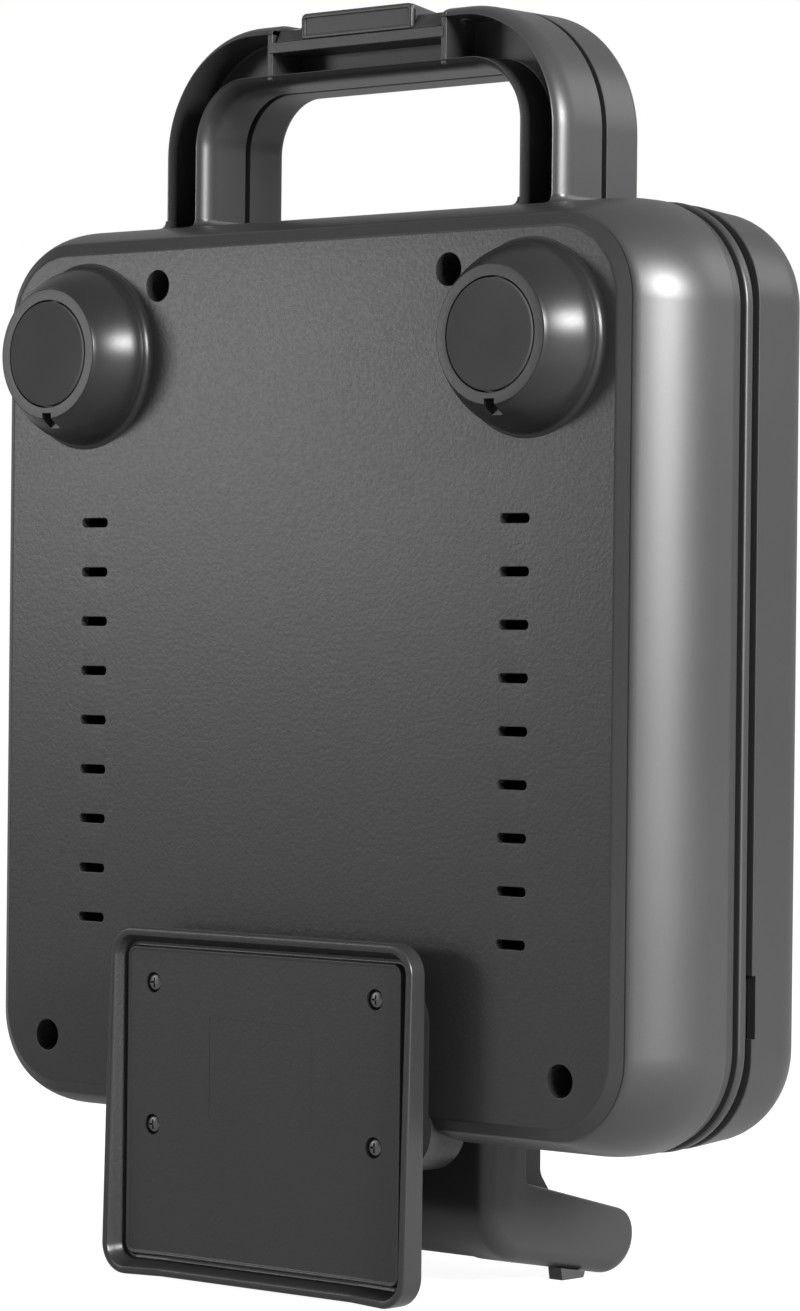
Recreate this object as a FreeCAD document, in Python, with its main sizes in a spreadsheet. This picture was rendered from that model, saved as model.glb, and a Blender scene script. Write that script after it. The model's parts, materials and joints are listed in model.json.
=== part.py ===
import FreeCAD, Part

import math
import os

import Sketcher

# Sandwich maker with a floating hinge, modelled upright on its storage stand.
# X runs across the body, Y from the feet towards the lid, Z from the hinge up to the handle.
# The row's origin is the middle of the surface that it stands on.
# Shapes are drawn from the outer face of the base cover (depth 0) and the middle of the body
# (height 0), and every placement then moves them into the row's frame.

SIZES = {
    "body_half_width": 120,
    "body_half_height": 121.35,
    "body_corner": 28,
    "wall": 2.5,
    "seat_gap": 0.15,
    "running_gap": 0.35,
    "stand_height": 39.65,
    "cover_step_x": 9.5,
    "cover_step_z": 5,
    "cover_step_corner": 6,
    "cover_edge": 2.3,
    "cover_bevel": 3.2,
    "cover_wall": 2.6,
    "crown_depth": 25,
    "straight_depth": 9.4,
    "ring_depth": 4.9,
    "ring_width": 3.6,
    "ledge": 6,
    "groove": 0.7,
    "lid_parting": 2.9,
    "lid_depth": 27.8,
    "lid_round": 15.5,
    "lid_inset": 0.5,
    "lid_draft": 1,
    "lid_crown": 1.3,
    "slot_half_length": 4.8,
    "slot_half_width": 1.2,
    "slot_inset": 35.5,
    "slot_pitch": 13.44,
    "slot_drop": 13.91,
    "well_radius": 4.2,
    "well_depth": 12,
    "upper_well_inset_x": 58.5,
    "upper_well_inset_z": 12.85,
    "lower_well_inset_x": 18.9,
    "lower_well_inset_z": 15.5,
    "foot_inset_x": 41.1,
    "foot_inset_z": 36.1,
    "foot_radius": 25.4,
    "foot_neck": 23.7,
    "foot_ring": 17.6,
    "foot_face": 15.04,
    "foot_reach": 15.5,
    "foot_notch": 3.4,
    "pad_radius": 14.3,
    "pad_recess": 1.7,
    "plate_half_width": 54.1,
    "plate_drop": 52.95,
    "plate_corner": 8,
    "plate_back": 8.4,
    "plate_face": 10.5,
    "plate_rim": 13.7,
    "rim_lip": 2.2,
    "rim_slope": 4.4,
    "heel_width": 14,
    "heel_height": 11,
    "ridge_inset": 5.4,
    "ridge_rise": 1.3,
    "plate_screw_inset": 14.5,
    "plate_screw_drop": 14.6,
    "plate_screw_rise": 40.2,
    "screw_head": 2.4,
    "neck_inset": 11.1,
    "neck_flare": 7,
    "neck_drop": 11.6,
    "neck_under": 5.15,
    "neck_reach": 14,
    "neck_corner": 9,
    "gland_radius": 4.85,
    "gland_bore": 3.4,
    "handle_half_width": 71.4,
    "handle_rise": 53.15,
    "handle_corner": 34,
    "grip_bar": 16.7,
    "grip_leg": 15.9,
    "grip_corner": 15,
    "handle_offset": 0.7,
    "handle_groove": 1.8,
    "lower_half_depth": 18,
    "upper_half_depth": 15.7,
    "handle_rim": 2.8,
    "handle_round": 3.5,
    "channel_depth": 12,
    "leg_flare": 2.2,
    "rib_gap": 1.5,
    "rib_wall": 1.8,
    "shelf_drop": 6.3,
    "shelf_wall": 1.7,
    "latch_half_width": 29.6,
    "latch_wing": 9.8,
    "latch_low": 1.7,
    "tongue_rise": 2,
    "latch_arm": 6.9,
    "latch_drop": 3.3,
    "latch_hook": 7.9,
    "latch_pin": 1.3,
    "arm_outer": 45,
    "arm_inner": 31.2,
    "arm_setback": 12.7,
    "arm_elbow_gap": 4.4,
    "arm_shoulder_drop": 12.05,
    "arm_heel_drop": 30.85,
    "arm_end": 6.4,
    "arm_end_rise": 5.1,
    "arm_end_drop": 12.7,
    "arm_round": 9.7,
    "arm_top_round": 7.9,
    "bar_depth": 11.8,
    "stand_pad_length": 10,
    "stand_pad_width": 4.5,
    "stand_pad_inset": 1.5,
    "pin_offset": 24.7,
    "pin_drop": 28.65,
    "pin_radius": 3,
    "float_travel": 15,
    "roller_radius": 4.4,
    "roller_width": 7.2,
    "knuckle_radius": 11,
    "knuckle_gap": 0.7,
    "knuckle_front": 4.8,
    "knuckle_back": 24.2,
    "plate_margin_x": 6.5,
    "plate_margin_z": 6.85,
    "plate_margin_corner": 3,
    "flange_wall": 2.2,
    "rim_wall": 4,
    "well_margin_x": 5.5,
    "well_margin_z": 48.5,
    "well_gap": 12,
    "well_floor": 16,
    "well_taper": 5,
    "well_ridge": 7,
    "rim_rise": 1.6,
    "shell_wall": 2.4,
    "parting_gap": 0.5,
    "element_radius": 3,
    "element_inset_x": 28,
    "element_inset_z": 6,
    "element_bend": 18,
    "element_tail": 18,
    "tray_depth": 10.4,
    "tray_wall": 0.8,
    "tray_corner": 16,
    "tray_inset_x": 13.5,
    "tray_inset_z": 26.5,
    "lamp_radius": 3.4,
    "lamp_x": 14,
    "lamp_inset": 21.35,
    "terminal_inset_x": 40.5,
    "terminal_inset_z": 6.35,
}

# Sizes that follow from others, so that a change of one carries what meets it along.
TIED = {
    "mid_height": "body_half_height + stand_height",
    "cover_half_width": "body_half_width - cover_step_x",
    "cover_half_height": "body_half_height - cover_step_z",
    "cover_corner": "body_corner - cover_step_corner",
    "housing_back": "crown_depth + straight_depth",
    "ring_back": "housing_back + ring_depth",
    "lid_front": "ring_back + lid_parting",
    "lid_back": "lid_front + lid_depth",
    "slot_column": "cover_half_width - slot_inset",
    "slot_top": "4 * slot_pitch - slot_drop",
    "upper_well_x": "cover_half_width - upper_well_inset_x",
    "upper_well_z": "cover_half_height - upper_well_inset_z",
    "lower_well_x": "cover_half_width - lower_well_inset_x",
    "lower_well_z": "cover_half_height - lower_well_inset_z",
    "foot_x": "body_half_width - foot_inset_x",
    "foot_z": "body_half_height - foot_inset_z",
    "plate_top": "body_half_height - plate_drop",
    "plate_screw_x": "plate_half_width - plate_screw_inset",
    "plate_screw_top": "plate_top + plate_screw_drop",
    "plate_screw_low": "mid_height - plate_screw_rise",
    "neck_half_width": "plate_half_width - neck_inset",
    "neck_top": "plate_top + neck_drop",
    "neck_low": "body_half_height + neck_under",
    "handle_top": "body_half_height + handle_rise",
    "grip_half_width": "handle_half_width - grip_leg",
    "grip_top": "handle_top - grip_bar",
    "handle_parting": "ring_back - handle_offset",
    "handle_front": "handle_parting - lower_half_depth",
    "handle_back": "handle_parting + upper_half_depth",
    "rib_x": "latch_half_width + rib_gap",
    "shelf_top": "handle_top - shelf_drop",
    "tongue_half_width": "latch_half_width - latch_wing",
    "latch_y": "handle_front + latch_arm",
    "latch_z": "handle_top - latch_drop",
    "latch_reach": "handle_parting + latch_hook",
    "pin_y": "ring_back + pin_offset",
    "pin_z": "body_half_height + pin_drop",
    "arm_front": "ring_back - arm_setback",
    "arm_elbow": "ring_back + arm_elbow_gap",
    "arm_shoulder": "body_half_height + arm_shoulder_drop",
    "arm_heel": "body_half_height + arm_heel_drop",
    "arm_reach": "pin_y + float_travel + roller_radius + arm_end",
    "arm_end_top": "pin_z - arm_end_rise",
    "arm_end_low": "pin_z + arm_end_drop",
    "knuckle_half_width": "arm_inner - knuckle_gap",
    "plate_edge_width": "body_half_width - plate_margin_x",
    "plate_edge_height": "body_half_height - plate_margin_z",
    "plate_edge_corner": "body_corner - plate_margin_corner",
    "well_side": "plate_edge_width - rim_wall - well_gap / 2 - well_margin_x",
    "well_height": "2 * (plate_edge_height - rim_wall - well_margin_z)",
    "element_width": "well_side - element_inset_x",
    "element_height": "well_height / 2 - element_inset_z",
    "tray_half_width": "plate_edge_width - tray_inset_x",
    "tray_half_height": "plate_edge_height - tray_inset_z",
    "lamp_z": "body_half_height - lamp_inset",
}

doc = FreeCAD.newDocument("SandwichMaker")
sheet = doc.addObject("Spreadsheet::Sheet", "Dims")
entries = list(SIZES.items()) + [(alias, "=" + rule) for alias, rule in TIED.items()]
for row, (alias, value) in enumerate(entries, start=1):
    sheet.set(f"A{row}", alias)
    sheet.set(f"B{row}", str(value))
    sheet.setAlias(f"B{row}", alias)
doc.recompute()

# Where the drawing's depth 0 and height 0 lie in the row's frame.
FACE_Y = "(Dims.foot_reach - Dims.arm_reach) / 2"
MID_Z = "Dims.mid_height"
PLATE_LOW = "Dims.mid_height"

V = FreeCAD.Vector
PARTS = []


def number(expression):
    """The present value of an expression on the sheet."""
    value = sheet.evalExpression(str(expression))
    return float(getattr(value, "Value", value))


def bind(item, prop, expression):
    item.setExpression(prop, str(expression))


def keep(item, label):
    """Mark an object as one of the sub-parts that are written out."""
    item.Label = label
    PARTS.append(item)
    return item


def body(label, x="0", y="0", z="0", export=True):
    """A body whose own origin lies at depth y and height z of the drawing."""
    made = doc.addObject("PartDesign::Body", "Body_" + label)
    bind(made, "Placement.Base.x", x)
    bind(made, "Placement.Base.y", f"{FACE_Y} + {y}")
    bind(made, "Placement.Base.z", f"{MID_Z} + {z}")
    made.Label = label
    if export:
        PARTS.append(made)
    return made


def sketch(owner, plane="XZ_Plane", offset="0"):
    """An empty sketch on one of the body's own planes, moved along that plane's axis."""
    made = owner.newObject("Sketcher::SketchObject", owner.Label + "_sketch")
    base = [f for f in owner.Origin.OriginFeatures if f.Role == plane][0]
    made.AttachmentSupport = [(base, "")]
    made.MapMode = "FlatFace"
    sign = "-" if plane == "XZ_Plane" else ""
    bind(made, "AttachmentOffset.Base.z", f"{sign}({offset})")
    return made


def dimension(item, kind, *arguments, value):
    """A driving constraint tied to an expression."""
    index = item.addConstraint(Sketcher.Constraint(kind, *arguments, number(value)))
    item.setExpression(f"Constraints[{index}]", str(value))


def corner_arc(item, here, before, after, radius):
    """An arc that rounds a corner: its index, its two ends and the names the sketch gives them."""
    half = before.getAngle(after) / 2
    centre = here + (before + after).normalize() * (radius / math.sin(half))
    reach = radius / math.tan(half)
    entry, leave = here + before * reach, here + after * reach
    angles = [math.atan2(p.y - centre.y, p.x - centre.x) for p in (entry, leave)]
    first, second = 1, 2
    if (angles[1] - angles[0]) % (2 * math.pi) > math.pi:
        angles.reverse()
        first, second = 2, 1
    if angles[1] < angles[0]:
        angles[1] += 2 * math.pi
    circle_at = Part.Circle(centre, V(0, 0, 1), radius)
    arc = item.addGeometry(Part.ArcOfCircle(circle_at, *angles))
    return arc, entry, leave, first, second


def outline(item, corners):
    """A closed outline through corners (u, v) or (u, v, radius), each an expression."""
    points = [V(number(c[0]), number(c[1]), 0) for c in corners]
    count = len(corners)
    arcs = []
    for i, here in enumerate(points):
        if len(corners[i]) < 3:
            arcs.append((None, here, here, 0, 0))
            continue
        before = (points[i - 1] - here).normalize()
        after = (points[(i + 1) % count] - here).normalize()
        arcs.append(corner_arc(item, here, before, after, number(corners[i][2])))
    lines = []
    for i in range(count):
        start, end = arcs[i][2], arcs[(i + 1) % count][1]
        lines.append(item.addGeometry(Part.LineSegment(start, end)))
    for i, corner in enumerate(corners):
        last, following = lines[i - 1], lines[i]
        if len(corner) < 3:
            item.addConstraint(Sketcher.Constraint("Coincident", last, 2, following, 1))
            dimension(item, "DistanceX", -1, 1, following, 1, value=corner[0])
            dimension(item, "DistanceY", -1, 1, following, 1, value=corner[1])
            continue
        round_corner(item, last, following, arcs[i], points[i], corner)


def round_corner(item, last, following, arc, point, corner):
    """Tie an arc to the two lines it joins and to the sharp corner they would have met at."""
    bend, first, second = arc[0], arc[3], arc[4]
    sharp = item.addGeometry(Part.Point(point))
    item.setConstruction(sharp, True)
    item.addConstraint(Sketcher.Constraint("Tangent", last, 2, bend, first))
    item.addConstraint(Sketcher.Constraint("Tangent", bend, second, following, 1))
    item.addConstraint(Sketcher.Constraint("PointOnObject", sharp, 1, last))
    item.addConstraint(Sketcher.Constraint("PointOnObject", sharp, 1, following))
    dimension(item, "DistanceX", -1, 1, sharp, 1, value=corner[0])
    dimension(item, "DistanceY", -1, 1, sharp, 1, value=corner[1])
    dimension(item, "Radius", bend, value=corner[2])


def rectangle(item, low_u, high_u, low_v, high_v, radius=None):
    corners = [(low_u, low_v), (high_u, low_v), (high_u, high_v), (low_u, high_v)]
    if radius is not None:
        corners = [corner + (radius,) for corner in corners]
    outline(item, corners)


def centred(item, half_u, half_v, radius=None):
    rectangle(item, f"-({half_u})", half_u, f"-({half_v})", half_v, radius)


def circle(item, u, v, radius):
    ring = Part.Circle(V(number(u), number(v), 0), V(0, 0, 1), number(radius))
    index = item.addGeometry(ring)
    dimension(item, "DistanceX", -1, 1, index, 3, value=u)
    dimension(item, "DistanceY", -1, 1, index, 3, value=v)
    dimension(item, "Radius", index, value=radius)


def pad(owner, profile, length, symmetric=False, flip=True):
    """Add material from the profile, towards the lid unless flip is off."""
    made = owner.newObject("PartDesign::Pad", owner.Label + "_pad")
    made.Profile = profile
    bind(made, "Length", length)
    if symmetric:
        made.SideType = "Symmetric"
    else:
        made.Reversed = flip
    return made


def pocket(owner, profile, length, symmetric=False, flip=False):
    """Remove material from the profile, towards the lid unless flip is on."""
    made = owner.newObject("PartDesign::Pocket", owner.Label + "_pocket")
    made.Profile = profile
    bind(made, "Length", length)
    if symmetric:
        made.SideType = "Symmetric"
    else:
        made.Reversed = flip
    return made


def loft(owner, profiles, remove=False, ruled=False):
    kind = "PartDesign::SubtractiveLoft" if remove else "PartDesign::AdditiveLoft"
    made = owner.newObject(kind, owner.Label + "_loft")
    made.Profile = profiles[0]
    made.Sections = profiles[1:]
    made.Ruled = ruled
    return made


def rounding(owner, section, start, inset, radius, last=90, sign="", steps=2, remove=False):
    """A rounded edge in bands: sections that draw in along an arc from where they are full."""
    sections = []
    for step in range(steps + 1):
        turn = math.radians(last * step / steps)
        along = round(math.sin(turn), 4)
        across = round(1 - math.cos(turn), 4)
        depth = f"{start} + {sign}{along} * {radius}"
        sections.append(section(depth, f"{inset} + {across} * {radius}"))
    return loft(owner, sections, remove, ruled=True)


def revolve(owner, profile, remove=False):
    kind = "PartDesign::Groove" if remove else "PartDesign::Revolution"
    made = owner.newObject(kind, owner.Label + "_turn")
    made.Profile = profile
    made.ReferenceAxis = (profile, ["V_Axis"])
    made.Angle = 360
    return made


def box(label, low, size):
    made = doc.addObject("Part::Box", "Box_" + label)
    for prop, value in zip(("Length", "Width", "Height"), size):
        bind(made, prop, value)
    place(made, low)
    made.Label = label
    return made


def rod(label, radius, length, start, axis="Y"):
    """A cylinder from a start point along the positive axis."""
    made = doc.addObject("Part::Cylinder", "Rod_" + label)
    bind(made, "Radius", radius)
    bind(made, "Height", length)
    turns = {"X": (V(0, 1, 0), 90), "Y": (V(1, 0, 0), -90), "Z": (V(0, 0, 1), 0)}
    made.Placement.Rotation = FreeCAD.Rotation(*turns[axis])
    place(made, start)
    made.Label = label
    return made


def place(item, at):
    bind(item, "Placement.Base.x", at[0])
    bind(item, "Placement.Base.y", f"{FACE_Y} + {at[1]}")
    bind(item, "Placement.Base.z", f"{MID_Z} + {at[2]}")


def union(label, items):
    made = doc.addObject("Part::MultiFuse", "Union_" + label)
    made.Shapes = items
    made.Refine = True
    made.Label = label
    return made


def cut(label, base, tool):
    made = doc.addObject("Part::Cut", "Cut_" + label)
    made.Base = base
    made.Tool = tool
    made.Label = label
    return made


def group(label, items):
    made = doc.addObject("Part::Compound", "Group_" + label)
    made.Links = items
    return keep(made, label)


# Outer form of the lower body.
# Its sides swell from the cover's edge to the parting line along an arc that starts at 45 degrees.

OUTER_STEPS = (1, 0.75, 0.5, 0.25, 0)
INNER_STEPS = (1, 0.5, 0)


def swell_share(step):
    """The part of the full inset that is left at a step back along the arc."""
    return (1 - math.sqrt(1 - step * step / 2)) / (1 - math.sqrt(0.5))


def body_section(owner, depth, share, inset="0"):
    """A rounded section of the body: share 1 is the cover's edge, 0 the full size."""
    item = sketch(owner, "XZ_Plane", depth)
    centred(
        item,
        f"Dims.body_half_width - {share} * (Dims.body_half_width - Dims.cover_half_width)"
        f" - ({inset})",
        f"Dims.body_half_height - {share} * (Dims.body_half_height - Dims.cover_half_height)"
        f" - ({inset})",
        f"Dims.body_corner - {share} * (Dims.body_corner - Dims.cover_corner) - 0.8 * ({inset})",
    )
    return item


def swell(owner, inset="0", remove=False):
    """The curved stretch of the housing, then its straight stretch up to the ring."""
    sections = []
    for step in INNER_STEPS if remove else OUTER_STEPS:
        depth = f"Dims.crown_depth - {step} * (Dims.crown_depth - Dims.cover_edge)"
        sections.append(body_section(owner, depth, round(swell_share(step), 4), inset))
    loft(owner, sections, remove, ruled=True)
    straight = body_section(owner, "Dims.crown_depth", 0, inset)
    extend = pocket if remove else pad
    extend(owner, straight, "Dims.straight_depth")


def lower_envelope():
    """The whole outside of the lower body, used to trim what meets it."""
    item = body("lower_envelope", export=False)
    face = body_section(item, "0", 1, "Dims.cover_bevel")
    edge = body_section(item, "Dims.cover_edge", 1)
    loft(item, [face, edge], ruled=True)
    swell(item)
    band = body_section(item, "Dims.housing_back", 0)
    pad(item, band, "Dims.ring_depth")
    return item


def base_cover():
    item = body("base_cover")
    face = body_section(item, "0", 1, "Dims.cover_bevel")
    edge = body_section(item, "Dims.cover_edge", 1)
    loft(item, [face, edge], ruled=True)
    lip = body_section(item, "Dims.cover_edge", 1, "Dims.wall + Dims.seat_gap")
    pad(item, lip, "Dims.wall")
    inside = body_section(item, "Dims.cover_wall", 1, "2 * Dims.wall + 2 * Dims.seat_gap")
    pocket(item, inside, "Dims.cover_edge + Dims.wall")
    vents = sketch(item)
    for side in ("-Dims.slot_column", "Dims.slot_column"):
        rectangle(
            vents,
            f"{side} - Dims.slot_half_length",
            f"{side} + Dims.slot_half_length",
            "Dims.slot_top - Dims.slot_half_width",
            "Dims.slot_top + Dims.slot_half_width",
        )
    first = pocket(item, vents, "3 * Dims.cover_wall")
    doc.recompute()
    column = item.newObject("PartDesign::LinearPattern", "base_cover_vents")
    column.Originals = [first]
    column.Direction = (vents, ["V_Axis"])
    column.Reversed = True
    bind(column, "Length", "8 * Dims.slot_pitch")
    column.Occurrences = 9
    item.Tip = column
    wells = sketch(item)
    for side in ("-", ""):
        circle(wells, f"{side}Dims.upper_well_x", "Dims.upper_well_z", "Dims.well_radius")
        circle(wells, f"{side}Dims.lower_well_x", "-Dims.lower_well_z", "Dims.well_radius")
    pocket(item, wells, "3 * Dims.cover_wall")
    return item


def lower_housing():
    item = body("lower_housing")
    swell(item)
    swell(item, "Dims.wall", remove=True)
    return item


def screw_posts():
    """Tubes behind the cover's wells, which the long screws pull against."""
    posts = []
    spots = [("Dims.upper_well_x", "Dims.upper_well_z"), ("Dims.lower_well_x", "-Dims.lower_well_z")]
    for x, z in spots:
        for side in ("-", ""):
            start = (f"{side}{x}", "Dims.cover_wall", z)
            outer = rod("post", "Dims.well_radius + 1.6", "Dims.well_depth + 3", start)
            bore = rod("post_bore", "Dims.well_radius", "Dims.well_depth", start)
            posts.append(cut("post", outer, bore))
    return group("cover_screw_posts", posts)


def cover_screws():
    screws = []
    spots = [("Dims.upper_well_x", "Dims.upper_well_z"), ("Dims.lower_well_x", "-Dims.lower_well_z")]
    for x, z in spots:
        for side in ("-", ""):
            start = (f"{side}{x}", "Dims.cover_wall + Dims.well_depth - 2.4", z)
            screws.append(rod("head", "Dims.well_radius - 3 * Dims.seat_gap", "2.4", start))
    return group("cover_screws", screws)


# Feet under the handle end, with rubber pads let into their faces.


def foot(side, sign):
    """A stepped dome on a spread root, recessed for its pad and notched at the bottom."""
    item = body(f"front_foot_{side}", f"{sign}Dims.foot_x", "0", "Dims.foot_z")
    section = sketch(item, "XY_Plane")
    drop = "(Dims.foot_neck - Dims.foot_ring)"
    outline(
        section,
        [
            ("0", "0"),
            ("Dims.foot_radius", "0"),
            ("Dims.foot_neck", "-0.17 * Dims.foot_face"),
            (f"Dims.foot_neck - 0.4 * {drop}", "-0.73 * Dims.foot_face"),
            ("Dims.foot_ring", "-Dims.foot_face"),
            ("Dims.pad_radius + Dims.seat_gap", "-Dims.foot_face"),
            ("Dims.pad_radius + Dims.seat_gap", "-Dims.foot_face + Dims.pad_recess"),
            ("0", "-Dims.foot_face + Dims.pad_recess"),
        ],
    )
    revolve(item, section)
    notch = sketch(item, "XZ_Plane", "-Dims.foot_face")
    half = "Dims.foot_notch / 2"
    inner = "-(Dims.pad_radius + Dims.foot_ring) / 2"
    rectangle(notch, f"-{half}", half, f"-Dims.foot_ring - {half}", inner)
    pocket(item, notch, "Dims.foot_notch")
    return item


def foot_pad(side, sign):
    item = body(f"foot_pad_{side}", f"{sign}Dims.foot_x", "0", "Dims.foot_z")
    section = sketch(item, "XZ_Plane", "-Dims.foot_reach")
    circle(section, "0", "0", "Dims.pad_radius")
    pad(item, section, "Dims.foot_reach - Dims.foot_face + Dims.pad_recess")
    return item


# Cord storage: a tray on a flared neck, which also makes the rear feet and the storage stand.


def plate_outline(item, inset):
    inset = f"({inset})"
    rectangle(
        item,
        f"-Dims.plate_half_width + {inset}",
        f"Dims.plate_half_width - {inset}",
        f"-{PLATE_LOW} + {inset}",
        f"-Dims.plate_top - {inset}",
        f"Dims.plate_corner - 0.8 * ({inset})",
    )


def heel(item, side):
    """A low corner of the rim that reaches forward to stand on."""
    sign = "" if side > 0 else "-"
    wide = "Dims.plate_half_width"
    rise = f"-{PLATE_LOW}"
    corners = [
        (f"{sign}({wide} - Dims.heel_width)", rise),
        (f"{sign}{wide}", rise, "Dims.plate_corner"),
        (f"{sign}{wide}", f"{rise} + Dims.heel_height"),
        (f"{sign}({wide} - Dims.rim_lip)", f"{rise} + Dims.heel_height"),
        (f"{sign}({wide} - Dims.rim_lip)", f"{rise} + Dims.rim_lip", "Dims.plate_corner - Dims.rim_lip"),
        (f"{sign}({wide} - Dims.heel_width)", f"{rise} + Dims.rim_lip"),
    ]
    front = sketch(item, "XZ_Plane", "-Dims.foot_reach")
    outline(front, corners if side > 0 else corners[::-1])
    pad(item, front, "Dims.foot_reach - Dims.plate_rim")


def cord_plate():
    item = body("cord_wrap_plate")
    rim = sketch(item, "XZ_Plane", "-Dims.plate_rim")
    plate_outline(rim, "0")
    pad(item, rim, "Dims.plate_rim - Dims.plate_back")
    groove_depth = "Dims.plate_face - 0.5"
    lip = sketch(item, "XZ_Plane", "-Dims.plate_rim")
    plate_outline(lip, "Dims.rim_lip")
    foot_of_slope = sketch(item, "XZ_Plane", f"-({groove_depth})")
    plate_outline(foot_of_slope, "Dims.rim_slope")
    loft(item, [lip, foot_of_slope], remove=True, ruled=True)
    ridge = sketch(item, "XZ_Plane", "-Dims.plate_face - Dims.ridge_rise")
    plate_outline(ridge, "Dims.ridge_inset")
    pad(item, ridge, "Dims.ridge_rise + 1")
    panel = sketch(item, "XZ_Plane", "-Dims.plate_face - Dims.ridge_rise")
    plate_outline(panel, "Dims.ridge_inset + 1.2")
    pocket(item, panel, "Dims.ridge_rise")
    for side in (-1, 1):
        heel(item, side)
    holes = sketch(item, "XZ_Plane", "-Dims.plate_face")
    for sign in ("-", ""):
        for z in ("-Dims.plate_screw_top", "-Dims.plate_screw_low"):
            circle(holes, f"{sign}Dims.plate_screw_x", z, "Dims.screw_head + 0.3")
    pocket(item, holes, "1.1")
    return item


def cord_plate_screws():
    screws = []
    for sign in ("-", ""):
        for z in ("-Dims.plate_screw_top", "-Dims.plate_screw_low"):
            start = (f"{sign}Dims.plate_screw_x", "0.2 - Dims.plate_face", z)
            head = rod("plate_screw_head", "Dims.screw_head", "0.9", start)
            screws.append(head)
    return group("cord_plate_screws", screws)


def cord_neck(envelope):
    item = body("cord_neck_block", export=False)
    sections = []
    for depth, flare in (("-Dims.plate_back", 0), ("-0.36 * Dims.plate_back", 0.2), ("0", 1)):
        section = sketch(item, "XZ_Plane", depth)
        spread = f"{flare} * Dims.neck_flare"
        rectangle(
            section,
            f"-Dims.neck_half_width - {spread}",
            f"Dims.neck_half_width + {spread}",
            f"-Dims.neck_low - 0.4 * {spread}",
            f"-Dims.neck_top + 0.4 * {spread}",
            f"Dims.neck_corner + 0.4 * {spread}",
        )
        sections.append(section)
    loft(item, sections, ruled=True)
    root = sketch(item, "XZ_Plane", "0")
    rectangle(
        root,
        "-Dims.neck_half_width - Dims.neck_flare",
        "Dims.neck_half_width + Dims.neck_flare",
        "-Dims.neck_low - 0.4 * Dims.neck_flare",
        "-Dims.neck_top + 0.4 * Dims.neck_flare",
        "Dims.neck_corner + 0.4 * Dims.neck_flare",
    )
    pad(item, root, "Dims.neck_reach")
    inlet = sketch(item, "XY_Plane", "-Dims.neck_low - Dims.neck_flare")
    circle(inlet, "0", "3", "Dims.gland_radius + Dims.seat_gap")
    pad_free = pocket(item, inlet, "Dims.neck_flare + 14", flip=True)
    pad_free.Label = "cord_inlet_hole"
    return keep(cut("cord_wrap_neck", item, envelope), "cord_wrap_neck")


def cord_gland():
    """A rubber bush in the neck's underside."""
    low = "-Dims.neck_low - 0.4 * Dims.neck_flare"
    sleeve = rod("gland_sleeve", "Dims.gland_radius", "9.6", ("0", "3", f"{low} - 1.6"), "Z")
    bore = rod("gland_bore", "Dims.gland_bore", "9.6", ("0", "3", f"{low} - 1.6"), "Z")
    return keep(cut("cord_gland", sleeve, bore), "cord_gland")


# Trim ring, cooking plates, elements and what holds them.


FLANGE_BACK = "Dims.ring_back + Dims.parting_gap - Dims.rim_rise - Dims.flange_wall"


def ring_section(owner, depth, inset):
    return body_section(owner, depth, 0, inset)


def trim_ring():
    item = body("lower_trim_ring")
    band = ring_section(item, "Dims.housing_back + Dims.groove", "0")
    pad(item, band, "Dims.ring_back - Dims.housing_back - Dims.groove")
    lip = ring_section(item, "Dims.housing_back - 3", "Dims.wall + Dims.seat_gap")
    pad(item, lip, "3 + Dims.groove")
    hollow = ring_section(item, "Dims.housing_back - 3", "Dims.ring_width + Dims.ledge")
    pocket(item, hollow, "Dims.ring_back")
    seat = ring_section(item, FLANGE_BACK, "Dims.ring_width + Dims.wall - 1")
    pocket(item, seat, "Dims.ring_back")
    return item


def cooking_plate(label, rim_y, direction):
    """A cast plate: flange, a raised rim round each slice, and two three-cornered wells a slice.

    The wells open at depth rim_y and sink away from it, in direction "-" or "+".
    """
    item = body(label, "0", rim_y, "0")
    towards = direction == "-"
    sign = "-" if towards else ""

    def at(depth):
        """A sketch at a distance below the rim."""
        return sketch(item, "XZ_Plane", f"{sign}({depth})")

    flange = at("Dims.rim_rise")
    centred(flange, "Dims.plate_edge_width", "Dims.plate_edge_height", "Dims.plate_edge_corner")
    pad(item, flange, "Dims.flange_wall", flip=not towards)
    tall = "Dims.well_height / 2 + Dims.rim_wall"
    for side in (-1, 1):
        near = "Dims.well_gap / 2 - Dims.rim_wall"
        far = "Dims.well_gap / 2 + Dims.well_side + Dims.rim_wall"
        low_u, high_u = (near, far) if side > 0 else (f"-({far})", f"-({near})")
        block = at("0")
        rectangle(block, low_u, high_u, f"-({tall})", tall, "9")
        pad(item, block, "Dims.rim_rise + Dims.flange_wall", flip=not towards)
        for upper in (-1, 1):
            tub = well_section(at("Dims.rim_rise"), side, upper, "-Dims.shell_wall", blunted=False)
            depth = "Dims.well_floor + Dims.shell_wall - Dims.rim_rise"
            pad(item, tub, depth, flip=not towards)
    for side in (-1, 1):
        for upper in (-1, 1):
            hollow = [
                well_section(at("0"), side, upper, "0"),
                well_section(at("Dims.well_floor"), side, upper, "Dims.well_taper"),
            ]
            loft(item, hollow, remove=True, ruled=True)
    return item


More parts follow.
